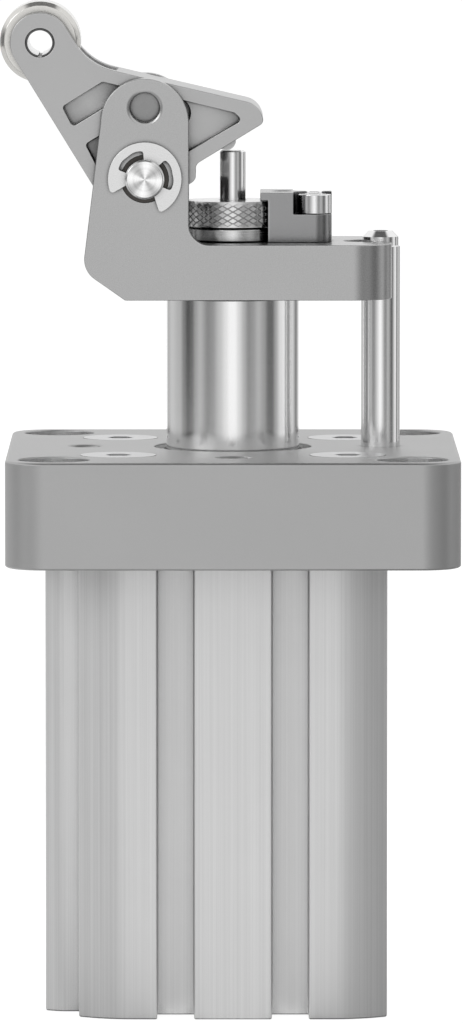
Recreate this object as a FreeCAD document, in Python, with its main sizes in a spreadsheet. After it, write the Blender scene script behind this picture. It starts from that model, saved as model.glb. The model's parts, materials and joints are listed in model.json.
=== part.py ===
import FreeCAD, Part
import math
import os
import Sketcher

# Stopper cylinder with a damped roller lever, for halting work-piece carriers on a conveyor.
# The origin is the middle of the barrel's foot, +Z runs up the piston rod and the lever points along -X.
# The rod is drawn at the top of its stroke, with the roller lever tilted ready for a carrier.

SIZES = {
    # Running gaps and fits
    "shaft_gap": 0.06,
    "lip_gap": 0.2,
    "rest_gap": 0.3,
    "seat_gap": 0.1,
    "round_facets_gap": 0.15,
    # Barrel extrusion
    "barrel_width": 78,
    "barrel_length": 115.5,
    "bore_radius": 25,
    "bevel_width": 7.3,
    "bevel_depth": 5.1,
    "bevel_radius": 21,
    "edge_radius": 0.8,
    "groove_width": 9.3,
    "groove_depth": 9.2,
    "groove_offset": 14.5,
    "port_pad_height": 8.6,
    "port_pad_width": 47.2,
    "port_pad_bevel_width": 3.6,
    "port_pad_bevel_depth": 2.1,
    "port_pad_bevel_radius": 6,
    "port_radius": 4.283,
    "port_depth": 9,
    "port_mouth_chamfer": 0.9,
    "port_drill_radius": 1.5,
    "lower_port_height": 27,
    "upper_port_height": 106,
    "port_side": 10,
    # End cap and what holds it
    "cap_ring_height": 3,
    "cap_ring_thickness": 2,
    "cap_ring_groove_depth": 1.5,
    "cap_ring_width": 4.2,
    "cap_ring_gap": 13,
    "cap_ring_ear_radius": 3.3,
    "cap_ring_ear_hole_radius": 1.25,
    "cap_ring_ear_offset": 10.2,
    "cap_ring_ear_reach": 18.7,
    "cap_thickness": 12,
    "cap_boss_radius": 16,
    "cap_boss_height": 2.5,
    "cap_seal_offset": 5,
    "seal_wire_radius": 1.3,
    "seal_groove_width": 3.2,
    "seal_groove_depth": 2.8,
    # Flange
    "flange_width": 114.5,
    "flange_thickness": 27,
    "flange_corner_radius": 10,
    "flange_chamfer": 0.5,
    "spigot_length": 8,
    "spigot_seal_offset": 2.2,
    "mount_inset": 12.25,
    "mount_hole_radius": 5.5,
    "mount_head_radius": 9,
    "mount_head_depth": 11,
    "screw_inset": 10,
    "screw_head_radius": 9.6,
    "screw_shank_radius": 5,
    "screw_length": 45,
    "screw_socket_flats": 6.2,
    "screw_socket_depth": 3.6,
    "screw_hole_gap": 0.3,
    "guide_offset": 37.7,
    "guide_tap_radius": 3.6,
    "guide_tap_depth": 18,
    "guide_tap_chamfer": 1,
    "wiper_radius": 20,
    "wiper_depth": 5,
    "wiper_recess": 1.2,
    "rod_seal_offset": 8.5,
    "rod_seal_height": 5,
    "bearing_wall": 2,
    "bearing_length": 20,
    # Guide rod
    "guide_radius": 5,
    "guide_exposed": 55.1,
    "guide_tip_radius": 4.6,
    "guide_tip_length": 3.7,
    "guide_tip_chamfer": 1.5,
    "guide_thread_length": 14,
    "guide_socket_radius": 1.9,
    "guide_socket_depth": 2.6,
    # Rod, piston and what rides on them
    "rod_radius": 17,
    "rod_exposed": 38.5,
    "rod_chamfer": 0.5,
    "stroke": 30,
    "bumper_thickness": 2.5,
    "bumper_outer_radius": 23.5,
    "bumper_inner_radius": 19,
    "piston_thickness": 22,
    "piston_gap": 0.35,
    "rod_spigot_radius": 10,
    "rod_spigot_length": 8,
    "piston_bolt_radius": 6,
    "piston_bolt_length": 22,
    "piston_bolt_head_radius": 9,
    "piston_bolt_head_height": 7,
    "piston_bolt_socket_flats": 8,
    "piston_bolt_socket_depth": 4,
    "bolt_pocket_depth": 8,
    "lip_seal_offset": 2.4,
    "lip_seal_height": 4,
    "lip_seal_depth": 3.8,
    "magnet_offset": 9.4,
    "magnet_height": 4,
    "magnet_depth": 3,
    "wear_ring_offset": 16.4,
    "wear_ring_height": 4,
    "wear_ring_depth": 1.6,
    "advance_spring_radius": 18.7,
    "advance_spring_wire": 1.5,
    "advance_spring_turns": 6.5,
    # Bracket
    "bracket_depth": 43,
    "plate_thickness": 14,
    "plate_reach": 40.4,
    "plate_corner_radius": 10,
    "guide_slot_gap": 0.3,
    "guide_slot_run": 4.3,
    "ear_thickness": 6,
    "ear_right": 11.2,
    "ear_centre": 22.3,
    "ear_left_top": 33.45,
    "ear_left_foot": 38.05,
    "ear_heel_height": 7.5,
    "ear_toe": 27.3,
    "ear_heel_radius": 6,
    "ear_fillet_radius": 5.1,
    "ear_round_height": 31,
    "pivot_height": 16.8,
    "lock_hole_height": 18,
    "lock_hole_radius": 3.75,
    "lock_hole_chamfer": 0.95,
    "lock_hole_chamfer_depth": 0.5,
    "bush_wall": 0.9,
    "dowel_radius": 2.5,
    "dowel_length": 12,
    "dowel_offset": 13.2,
    # Shock absorber
    "absorber_radius": 9,
    "absorber_bore_radius": 6.5,
    "absorber_length": 70.6,
    "absorber_floor": 4,
    "absorber_neck_radius": 8,
    "absorber_neck_height": 4,
    "gland_length": 16,
    "lock_nut_radius": 11.25,
    "lock_nut_height": 3.6,
    "lock_nut_chamfer": 0.4,
    "ring_radius": 12,
    "ring_height": 6.5,
    "ring_chamfer": 0.5,
    "plunger_radius": 3.3,
    "plunger_exposed": 12.7,
    "plunger_chamfer": 0.4,
    "plunger_length": 68,
    "plunger_head_height": 7,
    "absorber_spring_radius": 4.6,
    "absorber_spring_wire": 0.6,
    "absorber_spring_turns": 4,
    # Block that keeps the setting ring on
    "block_lip_start": 7,
    "block_end": 25.2,
    "block_width": 19,
    "block_height": 12.7,
    "block_lip_thickness": 1.95,
    "block_pocket_radius": 13,
    "block_corner_radius": 4.4,
    "block_notch_radius": 5.4,
    "block_notch_depth": 5.5,
    "block_hole_offset": 12.5,
    "block_hole_radius": 2.6,
    "block_hole_depth": 6,
    "block_screw_radius": 2.5,
    "block_screw_length": 16,
    "block_screw_head_radius": 4.2,
    "block_screw_head_height": 5,
    "block_screw_head_chamfer": 0.4,
    "block_screw_socket_flats": 4,
    "block_screw_socket_depth": 2.6,
    # Axle and its clips
    "axle_radius": 5,
    "axle_overhang": 3.6,
    "axle_chamfer": 0.5,
    "clip_radius": 9.35,
    "clip_thickness": 1.2,
    "clip_groove_depth": 0.5,
    "clip_slot_radius": 7.1,
    "clip_slot_start": 88,
    "clip_slot_end": 155,
    "clip_slot_round": 0.6,
    "clip_slot_crown_round": 4,
    "clip_mouth_half_angle": 51,
    "clip_flare": 39,
    "clip_turn": 21.5,
    # Lever
    "lever_width": 30.4,
    "roller_offset": 26.6,
    "roller_rise": 34.2,
    "arm_radius": 7.58,
    "arm_lean": 31.6,
    "arm_length": 51.8,
    "arm_shoulder": 11.2,
    "shoulder_radius": 15.5,
    "nose_crown_offset": 28.8,
    "nose_crown_rise": 18.6,
    "nose_crown_radius": 5.2,
    "nose_tip_offset": 30.3,
    "nose_tip_rise": 14,
    "nose_tip_radius": 1.6,
    "chin_offset": 12.9,
    "chin_rise": 3.4,
    "chin_radius": 2,
    "jaw_drop": 0.5,
    "jaw_radius": 2,
    "hub_radius": 8,
    "pocket_depth": 4.5,
    "pocket_round": 1,
    "arm_pocket_offset_1": -20.95,
    "arm_pocket_rise_1": 18,
    "arm_pocket_offset_2": -18.3,
    "arm_pocket_rise_2": 12.95,
    "arm_pocket_offset_3": -2.9,
    "arm_pocket_rise_3": 22.3,
    "arm_pocket_offset_4": -10.65,
    "arm_pocket_rise_4": 24.3,
    "heel_pocket_offset_1": -15.1,
    "heel_pocket_rise_1": 8.5,
    "heel_pocket_offset_2": -10.7,
    "heel_pocket_rise_2": 0.2,
    "heel_pocket_offset_3": -8.1,
    "heel_pocket_rise_3": 12.6,
    "nose_pocket_offset_1": 6.4,
    "nose_pocket_rise_1": 20.35,
    "nose_pocket_offset_2": 7.2,
    "nose_pocket_rise_2": 4.5,
    "nose_pocket_offset_3": 24.7,
    "nose_pocket_rise_3": 14.6,
    "nose_pocket_offset_4": 22.6,
    "nose_pocket_rise_4": 16.5,
    "fork_reach": 16.6,
    "fork_gap": 19.4,
    "lock_bore_offset": 7.75,
    "lock_bore_rise": 16.25,
    "lock_bore_depth": 11,
    "spring_chamber_radius": 8.4,
    "spring_chamber_width": 9,
    "pad_offset": 20.6,
    "pad_rise": 9.1,
    "pad_radius": 2.5,
    "pad_length": 14,
    "lever_spring_radius": 6.6,
    "lever_spring_wire": 0.75,
    "lever_spring_turns": 3,
    # Roller
    "roller_radius": 10.25,
    "roller_width": 18.8,
    "roller_chamfer": 1.1,
    "roller_bush_wall": 1,
    "roller_pin_radius": 3.65,
    "roller_pin_bore_radius": 3.15,
    "roller_pin_slit": 0.9,
}

doc = FreeCAD.newDocument("stopper_cylinder")
sheet = doc.addObject("Spreadsheet::Sheet", "sizes")
for row, (alias, number) in enumerate(SIZES.items(), start=1):
    sheet.set(f"A{row}", alias)
    sheet.set(f"B{row}", str(number))
    sheet.setAlias(f"B{row}", alias)
doc.recompute()


class Size:
    """A length or angle that carries its value and the sheet formula behind it."""

    def __init__(self, value, formula):
        self.value = value
        self.formula = formula

    def joined(self, other, sign, value):
        """Returns the result of one arithmetic step on two sizes."""
        return Size(value, f"({self.formula} {sign} {as_size(other).formula})")

    def __add__(self, other):
        return self.joined(other, "+", self.value + as_size(other).value)

    def __sub__(self, other):
        return self.joined(other, "-", self.value - as_size(other).value)

    def __rsub__(self, other):
        return as_size(other) - self

    def __mul__(self, other):
        return self.joined(other, "*", self.value * as_size(other).value)

    def __rmul__(self, other):
        return as_size(other) * self

    def __truediv__(self, other):
        return self.joined(other, "/", self.value / as_size(other).value)

    def __neg__(self):
        return as_size(0) - self


def as_size(number):
    """Wraps a plain number as a size."""
    return number if isinstance(number, Size) else Size(number, str(number))


def sine(angle):
    """Returns the sine of a size in degrees."""
    return Size(math.sin(math.radians(angle.value)), f"sin({angle.formula})")


def cosine(angle):
    """Returns the cosine of a size in degrees."""
    return Size(math.cos(math.radians(angle.value)), f"cos({angle.formula})")


class Sheet:
    """The named sizes of the sheet, read as attributes."""

    def __getattr__(self, alias):
        return Size(float(sheet.get(alias)), f"sizes.{alias}")


s = Sheet()
ZERO = as_size(0)
THROUGH = s.flange_width * 2
HEXAGON_SIDES = 6
PARTS = []


def bind(item, **formulas):
    """Ties properties of an object to the sheet."""
    for name, size in formulas.items():
        item.setExpression(name, as_size(size).formula)


def place(item, x=ZERO, y=ZERO, z=ZERO):
    """Ties the place of an object to the sheet."""
    for axis, size in zip("xyz", (x, y, z)):
        item.setExpression(f"Placement.Base.{axis}", as_size(size).formula)


def new_part(label):
    """Adds an empty body for one physical piece."""
    body = doc.addObject("PartDesign::Body", label)
    body.Label = label
    PARTS.append(body)
    return body


def datum(body, role):
    """Finds an origin plane or axis of a body by its role."""
    return next(item for item in body.Origin.OriginFeatures if item.Role == role)


def new_sketch(body, name, plane="XY_Plane", offset=ZERO):
    """Adds a sketch on an origin plane of its body, moved along the plane's normal."""
    sketch = body.newObject("Sketcher::SketchObject", name)
    sketch.AttachmentSupport = (datum(body, plane), [""])
    sketch.MapMode = "FlatFace"
    sketch.setExpression("AttachmentOffset.Base.z", as_size(offset).formula)
    return sketch


def tie_point(sketch, geometry, position, x, y):
    """Ties one point of a sketch to its two sizes."""
    for kind, size in (("DistanceX", as_size(x)), ("DistanceY", as_size(y))):
        rule = Sketcher.Constraint(kind, -1, 1, geometry, position, size.value)
        index = sketch.addConstraint(rule)
        sketch.setExpression(f"Constraints[{index}]", size.formula)


def draw_circle(sketch, x, y, radius):
    """Draws a circle whose centre and radius follow the sheet."""
    x, y, radius = as_size(x), as_size(y), as_size(radius)
    ring = Part.Circle(FreeCAD.Vector(x.value, y.value, 0), FreeCAD.Vector(0, 0, 1), radius.value)
    index = sketch.addGeometry(ring, False)
    tie_point(sketch, index, 3, x, y)
    rule = sketch.addConstraint(Sketcher.Constraint("Radius", index, radius.value))
    sketch.setExpression(f"Constraints[{rule}]", radius.formula)


def draw_outline(sketch, corners):
    """Draws a closed outline; a corner given as (x, y, radius) is rounded."""
    points = [FreeCAD.Vector(as_size(c[0]).value, as_size(c[1]).value, 0) for c in corners]
    count = len(corners)
    entries, exits, arcs = [], [], []
    for i, corner in enumerate(corners):
        before = (points[i - 1] - points[i]).normalize()
        after = (points[(i + 1) % count] - points[i]).normalize()
        if len(corner) == 2:
            entries.append(points[i])
            exits.append(points[i])
            arcs.append(None)
            continue
        radius = as_size(corner[2]).value
        half = before.getAngle(after) / 2
        entries.append(points[i] + before * (radius / math.tan(half)))
        exits.append(points[i] + after * (radius / math.tan(half)))
        centre = points[i] + (before + after).normalize() * (radius / math.sin(half))
        turns_left = before.cross(after).z < 0
        first, last = (entries[i], exits[i]) if turns_left else (exits[i], entries[i])
        start = math.atan2(first.y - centre.y, first.x - centre.x)
        end = math.atan2(last.y - centre.y, last.x - centre.x)
        circle = Part.Circle(centre, FreeCAD.Vector(0, 0, 1), radius)
        arcs.append((Part.ArcOfCircle(circle, start, end), turns_left))
    lines = [
        sketch.addGeometry(Part.LineSegment(exits[i], entries[(i + 1) % count]), False)
        for i in range(count)
    ]
    for i, corner in enumerate(corners):
        line_in, line_out = lines[i - 1], lines[i]
        if arcs[i] is None:
            sketch.addConstraint(Sketcher.Constraint("Coincident", line_in, 2, line_out, 1))
            tie_point(sketch, line_out, 1, corner[0], corner[1])
            continue
        arc_shape, turns_left = arcs[i]
        arc = sketch.addGeometry(arc_shape, False)
        arc_in, arc_out = (1, 2) if turns_left else (2, 1)
        tip = sketch.addGeometry(Part.Point(points[i]), True)
        tie_point(sketch, tip, 1, corner[0], corner[1])
        sketch.addConstraint(Sketcher.Constraint("PointOnObject", tip, 1, line_in))
        sketch.addConstraint(Sketcher.Constraint("PointOnObject", tip, 1, line_out))
        sketch.addConstraint(Sketcher.Constraint("Tangent", line_in, 2, arc, arc_in))
        sketch.addConstraint(Sketcher.Constraint("Tangent", arc, arc_out, line_out, 1))
        radius = as_size(corner[2])
        rule = sketch.addConstraint(Sketcher.Constraint("Radius", arc, radius.value))
        sketch.setExpression(f"Constraints[{rule}]", radius.formula)


def draw_box(sketch, left, right, low, high):
    """Draws a rectangle between two sides and two heights."""
    draw_outline(sketch, [(left, low), (right, low), (right, high), (left, high)])


def add_feature(body, kind, name, sketch, **formulas):
    """Adds a sketch-based feature to a body and ties its sizes to the sheet."""
    feature = body.newObject(f"PartDesign::{kind}", name)
    feature.Profile = sketch
    bind(feature, **formulas)
    return feature


def pad(body, name, sketch, length, symmetric=False):
    """Extrudes a sketch, upwards or to both sides of its plane."""
    feature = add_feature(body, "Pad", name, sketch, Length=length)
    feature.SideType = "Symmetric" if symmetric else "One side"
    return feature


def pocket(body, name, sketch, length, symmetric=False, upwards=False):
    """Cuts a sketch downwards, upwards or to both sides of its plane."""
    feature = add_feature(body, "Pocket", name, sketch, Length=length)
    feature.SideType = "Symmetric" if symmetric else "One side"
    feature.Reversed = upwards
    return feature


def turn(body, name, sketch, kind="Revolution"):
    """Turns a sketch round its own upright axis."""
    feature = add_feature(body, kind, name, sketch)
    feature.ReferenceAxis = (sketch, ["V_Axis"])
    feature.Angle = 360
    return feature


def turned_part(label, profile, plane="XZ_Plane"):
    """Adds a piece turned about Z, or about Y when its profile lies on the XY plane."""
    body = new_part(label)
    sketch = new_sketch(body, f"{label}_profile", plane)
    draw_outline(sketch, profile)
    turn(body, f"{label}_turned", sketch)
    return body


def ring_part(label, inner, outer, low, high, plane="XZ_Plane"):
    """Adds a plain turned ring."""
    profile = [(inner, low), (outer, low), (outer, high), (inner, high)]
    return turned_part(label, profile, plane)


def round_seal(label, radius, height):
    """Adds a ring of round section."""
    body = new_part(label)
    sketch = new_sketch(body, f"{label}_section", "XZ_Plane")
    draw_circle(sketch, radius, height, s.seal_wire_radius)
    turn(body, f"{label}_turned", sketch)
    return body


def repeat_round(body, name, features, count, angle=360):
    """Repeats features about the body's Z axis."""
    pattern = body.newObject("PartDesign::PolarPattern", name)
    pattern.Originals = features
    pattern.Axis = (datum(body, "Z_Axis"), [""])
    pattern.Angle = angle
    pattern.Occurrences = count
    body.Tip = pattern
    return pattern


def hexagon(sketch, x, y, flats):
    """Draws a hexagon of a given width across its flats."""
    step = 360 / HEXAGON_SIDES
    reach = flats / (2 * cosine(as_size(step / 2)))
    corners = []
    for side in range(HEXAGON_SIDES):
        angle = as_size(step * side)
        corners.append((x + reach * cosine(angle), y + reach * sine(angle)))
    draw_outline(sketch, corners)


# Heights and places that several pieces share
barrel_half = s.barrel_width / 2
screw_reach = barrel_half - s.screw_inset
mount_reach = s.flange_width / 2 - s.mount_inset
flange_foot = s.barrel_length
flange_top = flange_foot + s.flange_thickness
spigot_foot = flange_foot - s.spigot_length
bumper_foot = spigot_foot - s.bumper_thickness
piston_top = bumper_foot - s.rest_gap
piston_foot = piston_top - s.piston_thickness
cap_foot = s.cap_ring_height + s.cap_ring_thickness
cap_top = cap_foot + s.cap_thickness
plate_foot = flange_top + s.rod_exposed
plate_top = plate_foot + s.plate_thickness
pivot_x = -s.ear_centre
pivot_z = plate_top + s.pivot_height
nut_top = plate_top + s.lock_nut_height
ring_foot = nut_top + s.rest_gap
ring_top = ring_foot + s.ring_height
neck_top = nut_top + s.absorber_neck_height
plunger_top = ring_top + s.plunger_exposed
ear_face = s.bracket_depth / 2
ear_inner = ear_face - s.ear_thickness
half_lever = s.lever_width / 2
roller_x = pivot_x - s.roller_offset
roller_z = pivot_z + s.roller_rise


def make_barrel():
    """The square extrusion with its bore, sensor grooves, air pad and ports."""
    body = new_part("barrel")
    shoulder = barrel_half - s.bevel_width
    bevel_line = barrel_half - s.bevel_depth
    outline = []
    for side, end in ((1, -1), (1, 1), (-1, 1), (-1, -1)):
        bevel = (side * shoulder, end * barrel_half, s.bevel_radius)
        edge = (side * barrel_half, end * bevel_line, s.edge_radius)
        outline += [bevel, edge] if side == -end else [edge, bevel]
    sketch = new_sketch(body, "barrel_outline")
    draw_outline(sketch, outline)
    pad(body, "barrel_block", sketch, s.barrel_length)

    pad_half = s.port_pad_width / 2
    pad_face = -barrel_half - s.port_pad_height
    pad_shoulder = pad_face + s.port_pad_bevel_width
    pad_line = pad_half - s.port_pad_bevel_depth
    sketch = new_sketch(body, "port_pad_outline")
    draw_outline(sketch, [
        (-s.bore_radius - s.groove_depth, -pad_half),
        (-s.bore_radius - s.groove_depth, pad_half),
        (pad_shoulder, pad_half, s.port_pad_bevel_radius),
        (pad_face, pad_line, s.edge_radius),
        (pad_face, -pad_line, s.edge_radius),
        (pad_shoulder, -pad_half, s.port_pad_bevel_radius),
    ])
    pad(body, "port_pad", sketch, s.barrel_length)

    sketch = new_sketch(body, "bore_circle")
    draw_circle(sketch, 0, 0, s.bore_radius)
    pocket(body, "bore", sketch, s.barrel_length, upwards=True)

    sketch = new_sketch(body, "cap_ring_groove_circle", offset=s.cap_ring_height - s.seat_gap / 2)
    draw_circle(sketch, 0, 0, s.bore_radius + s.cap_ring_groove_depth)
    pocket(body, "cap_ring_groove", sketch, s.cap_ring_thickness + s.seat_gap, upwards=True)

    sketch = new_sketch(body, "groove_sections")
    for side in (-1, 1):
        middle = side * s.groove_offset
        draw_box(
            sketch,
            middle - s.groove_width / 2,
            middle + s.groove_width / 2,
            -barrel_half - s.rest_gap,
            s.groove_depth - barrel_half,
        )
    grooves = pocket(body, "front_grooves", sketch, s.barrel_length, upwards=True)
    doc.recompute()
    repeat_round(body, "groove_pattern", [grooves], 3, 180)

    sketch = new_sketch(body, "screw_hole_circles", offset=s.barrel_length)
    for x, y in ((-1, -1), (-1, 1), (1, -1), (1, 1)):
        draw_circle(sketch, x * screw_reach, y * screw_reach, s.screw_shank_radius)
    engaged = s.screw_length - s.flange_thickness + s.guide_tap_chamfer
    pocket(body, "screw_holes", sketch, engaged)

    for name, height in (("lower", s.lower_port_height), ("upper", s.upper_port_height)):
        mouth = new_sketch(body, f"{name}_port_profile", "XZ_Plane")
        draw_outline(mouth, [
            (pad_face - s.rest_gap, height),
            (pad_face - s.rest_gap, height + s.port_radius + s.port_mouth_chamfer),
            (pad_face, height + s.port_radius + s.port_mouth_chamfer),
            (pad_face + s.port_mouth_chamfer, height + s.port_radius),
            (pad_face + s.port_depth, height + s.port_radius),
            (pad_face + s.port_depth, height + s.port_drill_radius),
            (-s.bore_radius + s.port_mouth_chamfer, height + s.port_drill_radius),
            (-s.bore_radius + s.port_mouth_chamfer, height),
        ])
        cut = add_feature(body, "Groove", f"{name}_port", mouth)
        cut.ReferenceAxis = (mouth, ["Edge8"])
        cut.Angle = 360
    return body


def make_end_cap():
    """The plug that closes the foot of the bore, with a boss that centres the spring."""
    rim = s.bore_radius - s.seat_gap / 2
    low = cap_foot + s.cap_seal_offset
    body = turned_part("end_cap", [
        (0, cap_foot),
        (rim - s.rod_chamfer, cap_foot),
        (rim, cap_foot + s.rod_chamfer),
        (rim, low),
        (rim - s.seal_groove_depth, low),
        (rim - s.seal_groove_depth, low + s.seal_groove_width),
        (rim, low + s.seal_groove_width),
        (rim, cap_top),
        (s.cap_boss_radius, cap_top),
        (s.cap_boss_radius - s.rod_chamfer, cap_top + s.cap_boss_height),
        (0, cap_top + s.cap_boss_height),
    ])
    round_seal(
        "end_cap_seal", s.bore_radius - s.seal_wire_radius - s.round_facets_gap / 2,
        low + s.seal_groove_width / 2,
    )
    return body


def make_cap_ring():
    """The open retaining ring under the end cap, with two eyes for the pliers."""
    body = new_part("end_cap_ring")
    outer = s.bore_radius + s.cap_ring_groove_depth - s.seat_gap
    sketch = new_sketch(body, "cap_ring_outline", offset=s.cap_ring_height)
    draw_circle(sketch, 0, 0, outer)
    draw_circle(sketch, 0, 0, outer - s.cap_ring_width)
    pad(body, "cap_ring_band", sketch, s.cap_ring_thickness)
    sketch = new_sketch(body, "cap_ring_mouth_box", offset=s.cap_ring_height)
    draw_box(sketch, -s.cap_ring_gap / 2, s.cap_ring_gap / 2, -outer - s.cap_ring_width, 0)
    pocket(body, "cap_ring_mouth", sketch, s.cap_ring_thickness, upwards=True)
    ear_y = -s.cap_ring_ear_reach
    for name, side in (("left", -1), ("right", 1)):
        sketch = new_sketch(body, f"cap_ring_{name}_eye_circles", offset=s.cap_ring_height)
        draw_circle(sketch, side * s.cap_ring_ear_offset, ear_y, s.cap_ring_ear_radius)
        pad(body, f"cap_ring_{name}_eye", sketch, s.cap_ring_thickness)
        sketch = new_sketch(body, f"cap_ring_{name}_hole_circle", offset=s.cap_ring_height)
        draw_circle(sketch, side * s.cap_ring_ear_offset, ear_y, s.cap_ring_ear_hole_radius)
        pocket(body, f"cap_ring_{name}_hole", sketch, s.cap_ring_thickness, upwards=True)
    return body


def make_flange():
    """The mounting flange with its spigot, rod bore, screw holes and guide rod taps."""
    body = new_part("flange")
    half = s.flange_width / 2
    sketch = new_sketch(body, "flange_outline", offset=flange_foot)
    draw_outline(sketch, [
        (x * half, y * half, s.flange_corner_radius)
        for x, y in ((-1, -1), (1, -1), (1, 1), (-1, 1))
    ])
    plate = pad(body, "flange_plate", sketch, s.flange_thickness)
    doc.recompute()
    rims = [
        f"Edge{number}"
        for number, edge in enumerate(plate.Shape.Edges, start=1)
        if abs(edge.BoundBox.ZLength) < s.flange_chamfer.value
    ]
    chamfer = body.newObject("PartDesign::Chamfer", "flange_edges")
    chamfer.Base = (plate, rims)
    bind(chamfer, Size=s.flange_chamfer)

    spigot_radius = s.bore_radius - s.seat_gap / 2
    groove_low = spigot_foot + s.spigot_seal_offset
    groove_high = groove_low + s.seal_groove_width
    groove_radius = spigot_radius - s.seal_groove_depth
    sketch = new_sketch(body, "spigot_profile", "XZ_Plane")
    draw_outline(sketch, [
        (0, spigot_foot),
        (spigot_radius - s.rod_chamfer, spigot_foot),
        (spigot_radius, spigot_foot + s.rod_chamfer),
        (spigot_radius, groove_low),
        (groove_radius, groove_low),
        (groove_radius, groove_high),
        (spigot_radius, groove_high),
        (spigot_radius, flange_foot + s.rod_chamfer),
        (0, flange_foot + s.rod_chamfer),
    ])
    turn(body, "spigot", sketch)

    bearing_radius = s.rod_radius + s.shaft_gap + s.bearing_wall
    bearing_top = spigot_foot + s.bearing_length
    seal_top = flange_top - s.rod_seal_offset
    seal_foot = seal_top - s.rod_seal_height
    wiper_foot = flange_top - s.wiper_depth
    clear_radius = s.rod_radius + s.rest_gap
    sketch = new_sketch(body, "rod_bore_profile", "XZ_Plane")
    draw_outline(sketch, [
        (0, spigot_foot - s.rest_gap),
        (bearing_radius, spigot_foot - s.rest_gap),
        (bearing_radius, bearing_top),
        (clear_radius, bearing_top),
        (clear_radius, seal_foot),
        (s.wiper_radius, seal_foot),
        (s.wiper_radius, seal_top),
        (clear_radius, seal_top),
        (clear_radius, wiper_foot),
        (s.wiper_radius, wiper_foot),
        (s.wiper_radius, flange_top + s.rest_gap),
        (0, flange_top + s.rest_gap),
    ])
    turn(body, "rod_bore", sketch, "Groove")

    spots = ((-1, -1), (-1, 1), (1, -1), (1, 1))
    hole_rows = (
        ("mount_holes", mount_reach, s.mount_hole_radius, s.flange_thickness),
        ("mount_head_seats", mount_reach, s.mount_head_radius, s.mount_head_depth),
        ("screw_clearances", screw_reach, s.screw_shank_radius + s.screw_hole_gap, s.flange_thickness),
    )
    for name, offset, radius, depth in hole_rows:
        sketch = new_sketch(body, f"{name}_circles", offset=flange_top)
        for x, y in spots:
            draw_circle(sketch, x * offset, y * offset, radius)
        pocket(body, name, sketch, depth)

    for index, (x, y) in enumerate(spots):
        seat = body.newObject("PartDesign::SubtractiveCone", f"screw_seat_{index + 1}")
        bind(
            seat,
            Radius1=s.screw_shank_radius + s.screw_hole_gap,
            Radius2=s.screw_head_radius + s.seat_gap,
            Height=s.screw_head_radius - s.screw_shank_radius,
        )
        seat_height = flange_top - s.screw_head_radius + s.screw_shank_radius
        place(seat, x * screw_reach, y * screw_reach, seat_height)

    sketch = new_sketch(body, "guide_tap_profile", "XZ_Plane")
    chamfer_radius = s.guide_tap_radius + s.guide_tap_chamfer
    left = s.guide_offset - s.guide_tap_radius
    right = s.guide_offset + s.guide_tap_radius
    foot = flange_top - s.guide_tap_depth
    draw_outline(sketch, [
        (s.guide_offset, foot),
        (right, foot),
        (right, flange_top - s.guide_tap_chamfer),
        (s.guide_offset + chamfer_radius, flange_top),
        (s.guide_offset + chamfer_radius, flange_top + s.rest_gap),
        (s.guide_offset, flange_top + s.rest_gap),
    ])
    tap = add_feature(body, "Groove", "guide_tap", sketch)
    tap.ReferenceAxis = (sketch, ["Edge6"])
    tap.Angle = 360
    doc.recompute()
    repeat_round(body, "guide_taps", [tap], 4)

    round_seal(
        "flange_seal",
        s.bore_radius - s.seal_wire_radius - s.round_facets_gap / 2,
        (groove_low + groove_high) / 2,
    )
    ring_part("rod_bearing", s.rod_radius + s.shaft_gap, bearing_radius, spigot_foot, bearing_top)
    lip = s.rod_radius + s.lip_gap
    turned_part("rod_seal", [
        (lip + s.bearing_wall / 2, seal_foot),
        (lip, seal_foot + s.bearing_wall / 2),
        (lip, seal_top),
        (s.wiper_radius, seal_top),
        (s.wiper_radius, seal_foot),
    ])
    wiper_top = flange_top - s.wiper_recess
    turned_part("rod_wiper", [
        (lip + s.bearing_wall / 2, wiper_foot),
        (lip + s.bearing_wall / 2, wiper_top - s.bearing_wall),
        (lip, wiper_top),
        (lip + s.rod_chamfer, flange_top - s.wiper_recess / 2),
        (lip + s.bearing_wall / 2, wiper_top),
        (s.wiper_radius, wiper_top),
        (s.wiper_radius, wiper_foot),
    ])
    ring_part("stroke_bumper", s.bumper_inner_radius, s.bumper_outer_radius, bumper_foot, spigot_foot)
    return body


def make_flange_screws():
    """Four countersunk socket screws that draw the flange down on the barrel."""
    body = new_part("flange_screws")
    body.AllowCompound = True
    head_height = s.screw_head_radius - s.screw_shank_radius
    spots = ((-1, -1), (-1, 1), (1, -1), (1, 1))
    sketch = new_sketch(body, "flange_screw_shanks", offset=flange_top - s.screw_length)
    for x, y in spots:
        draw_circle(sketch, x * screw_reach, y * screw_reach, s.screw_shank_radius)
    pad(body, "flange_screw_shank", sketch, s.screw_length)
    for index, (x, y) in enumerate(spots):
        head = body.newObject("PartDesign::AdditiveCone", f"flange_screw_head_{index + 1}")
        bind(
            head,
            Radius1=s.screw_shank_radius,
            Radius2=s.screw_head_radius,
            Height=head_height,
        )
        place(head, x * screw_reach, y * screw_reach, flange_top - head_height)
    sketch = new_sketch(body, "flange_screw_hexagons", offset=flange_top)
    for x, y in spots:
        hexagon(sketch, x * screw_reach, y * screw_reach, s.screw_socket_flats)
    pocket(body, "flange_screw_sockets", sketch, s.screw_socket_depth)
    return body


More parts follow.
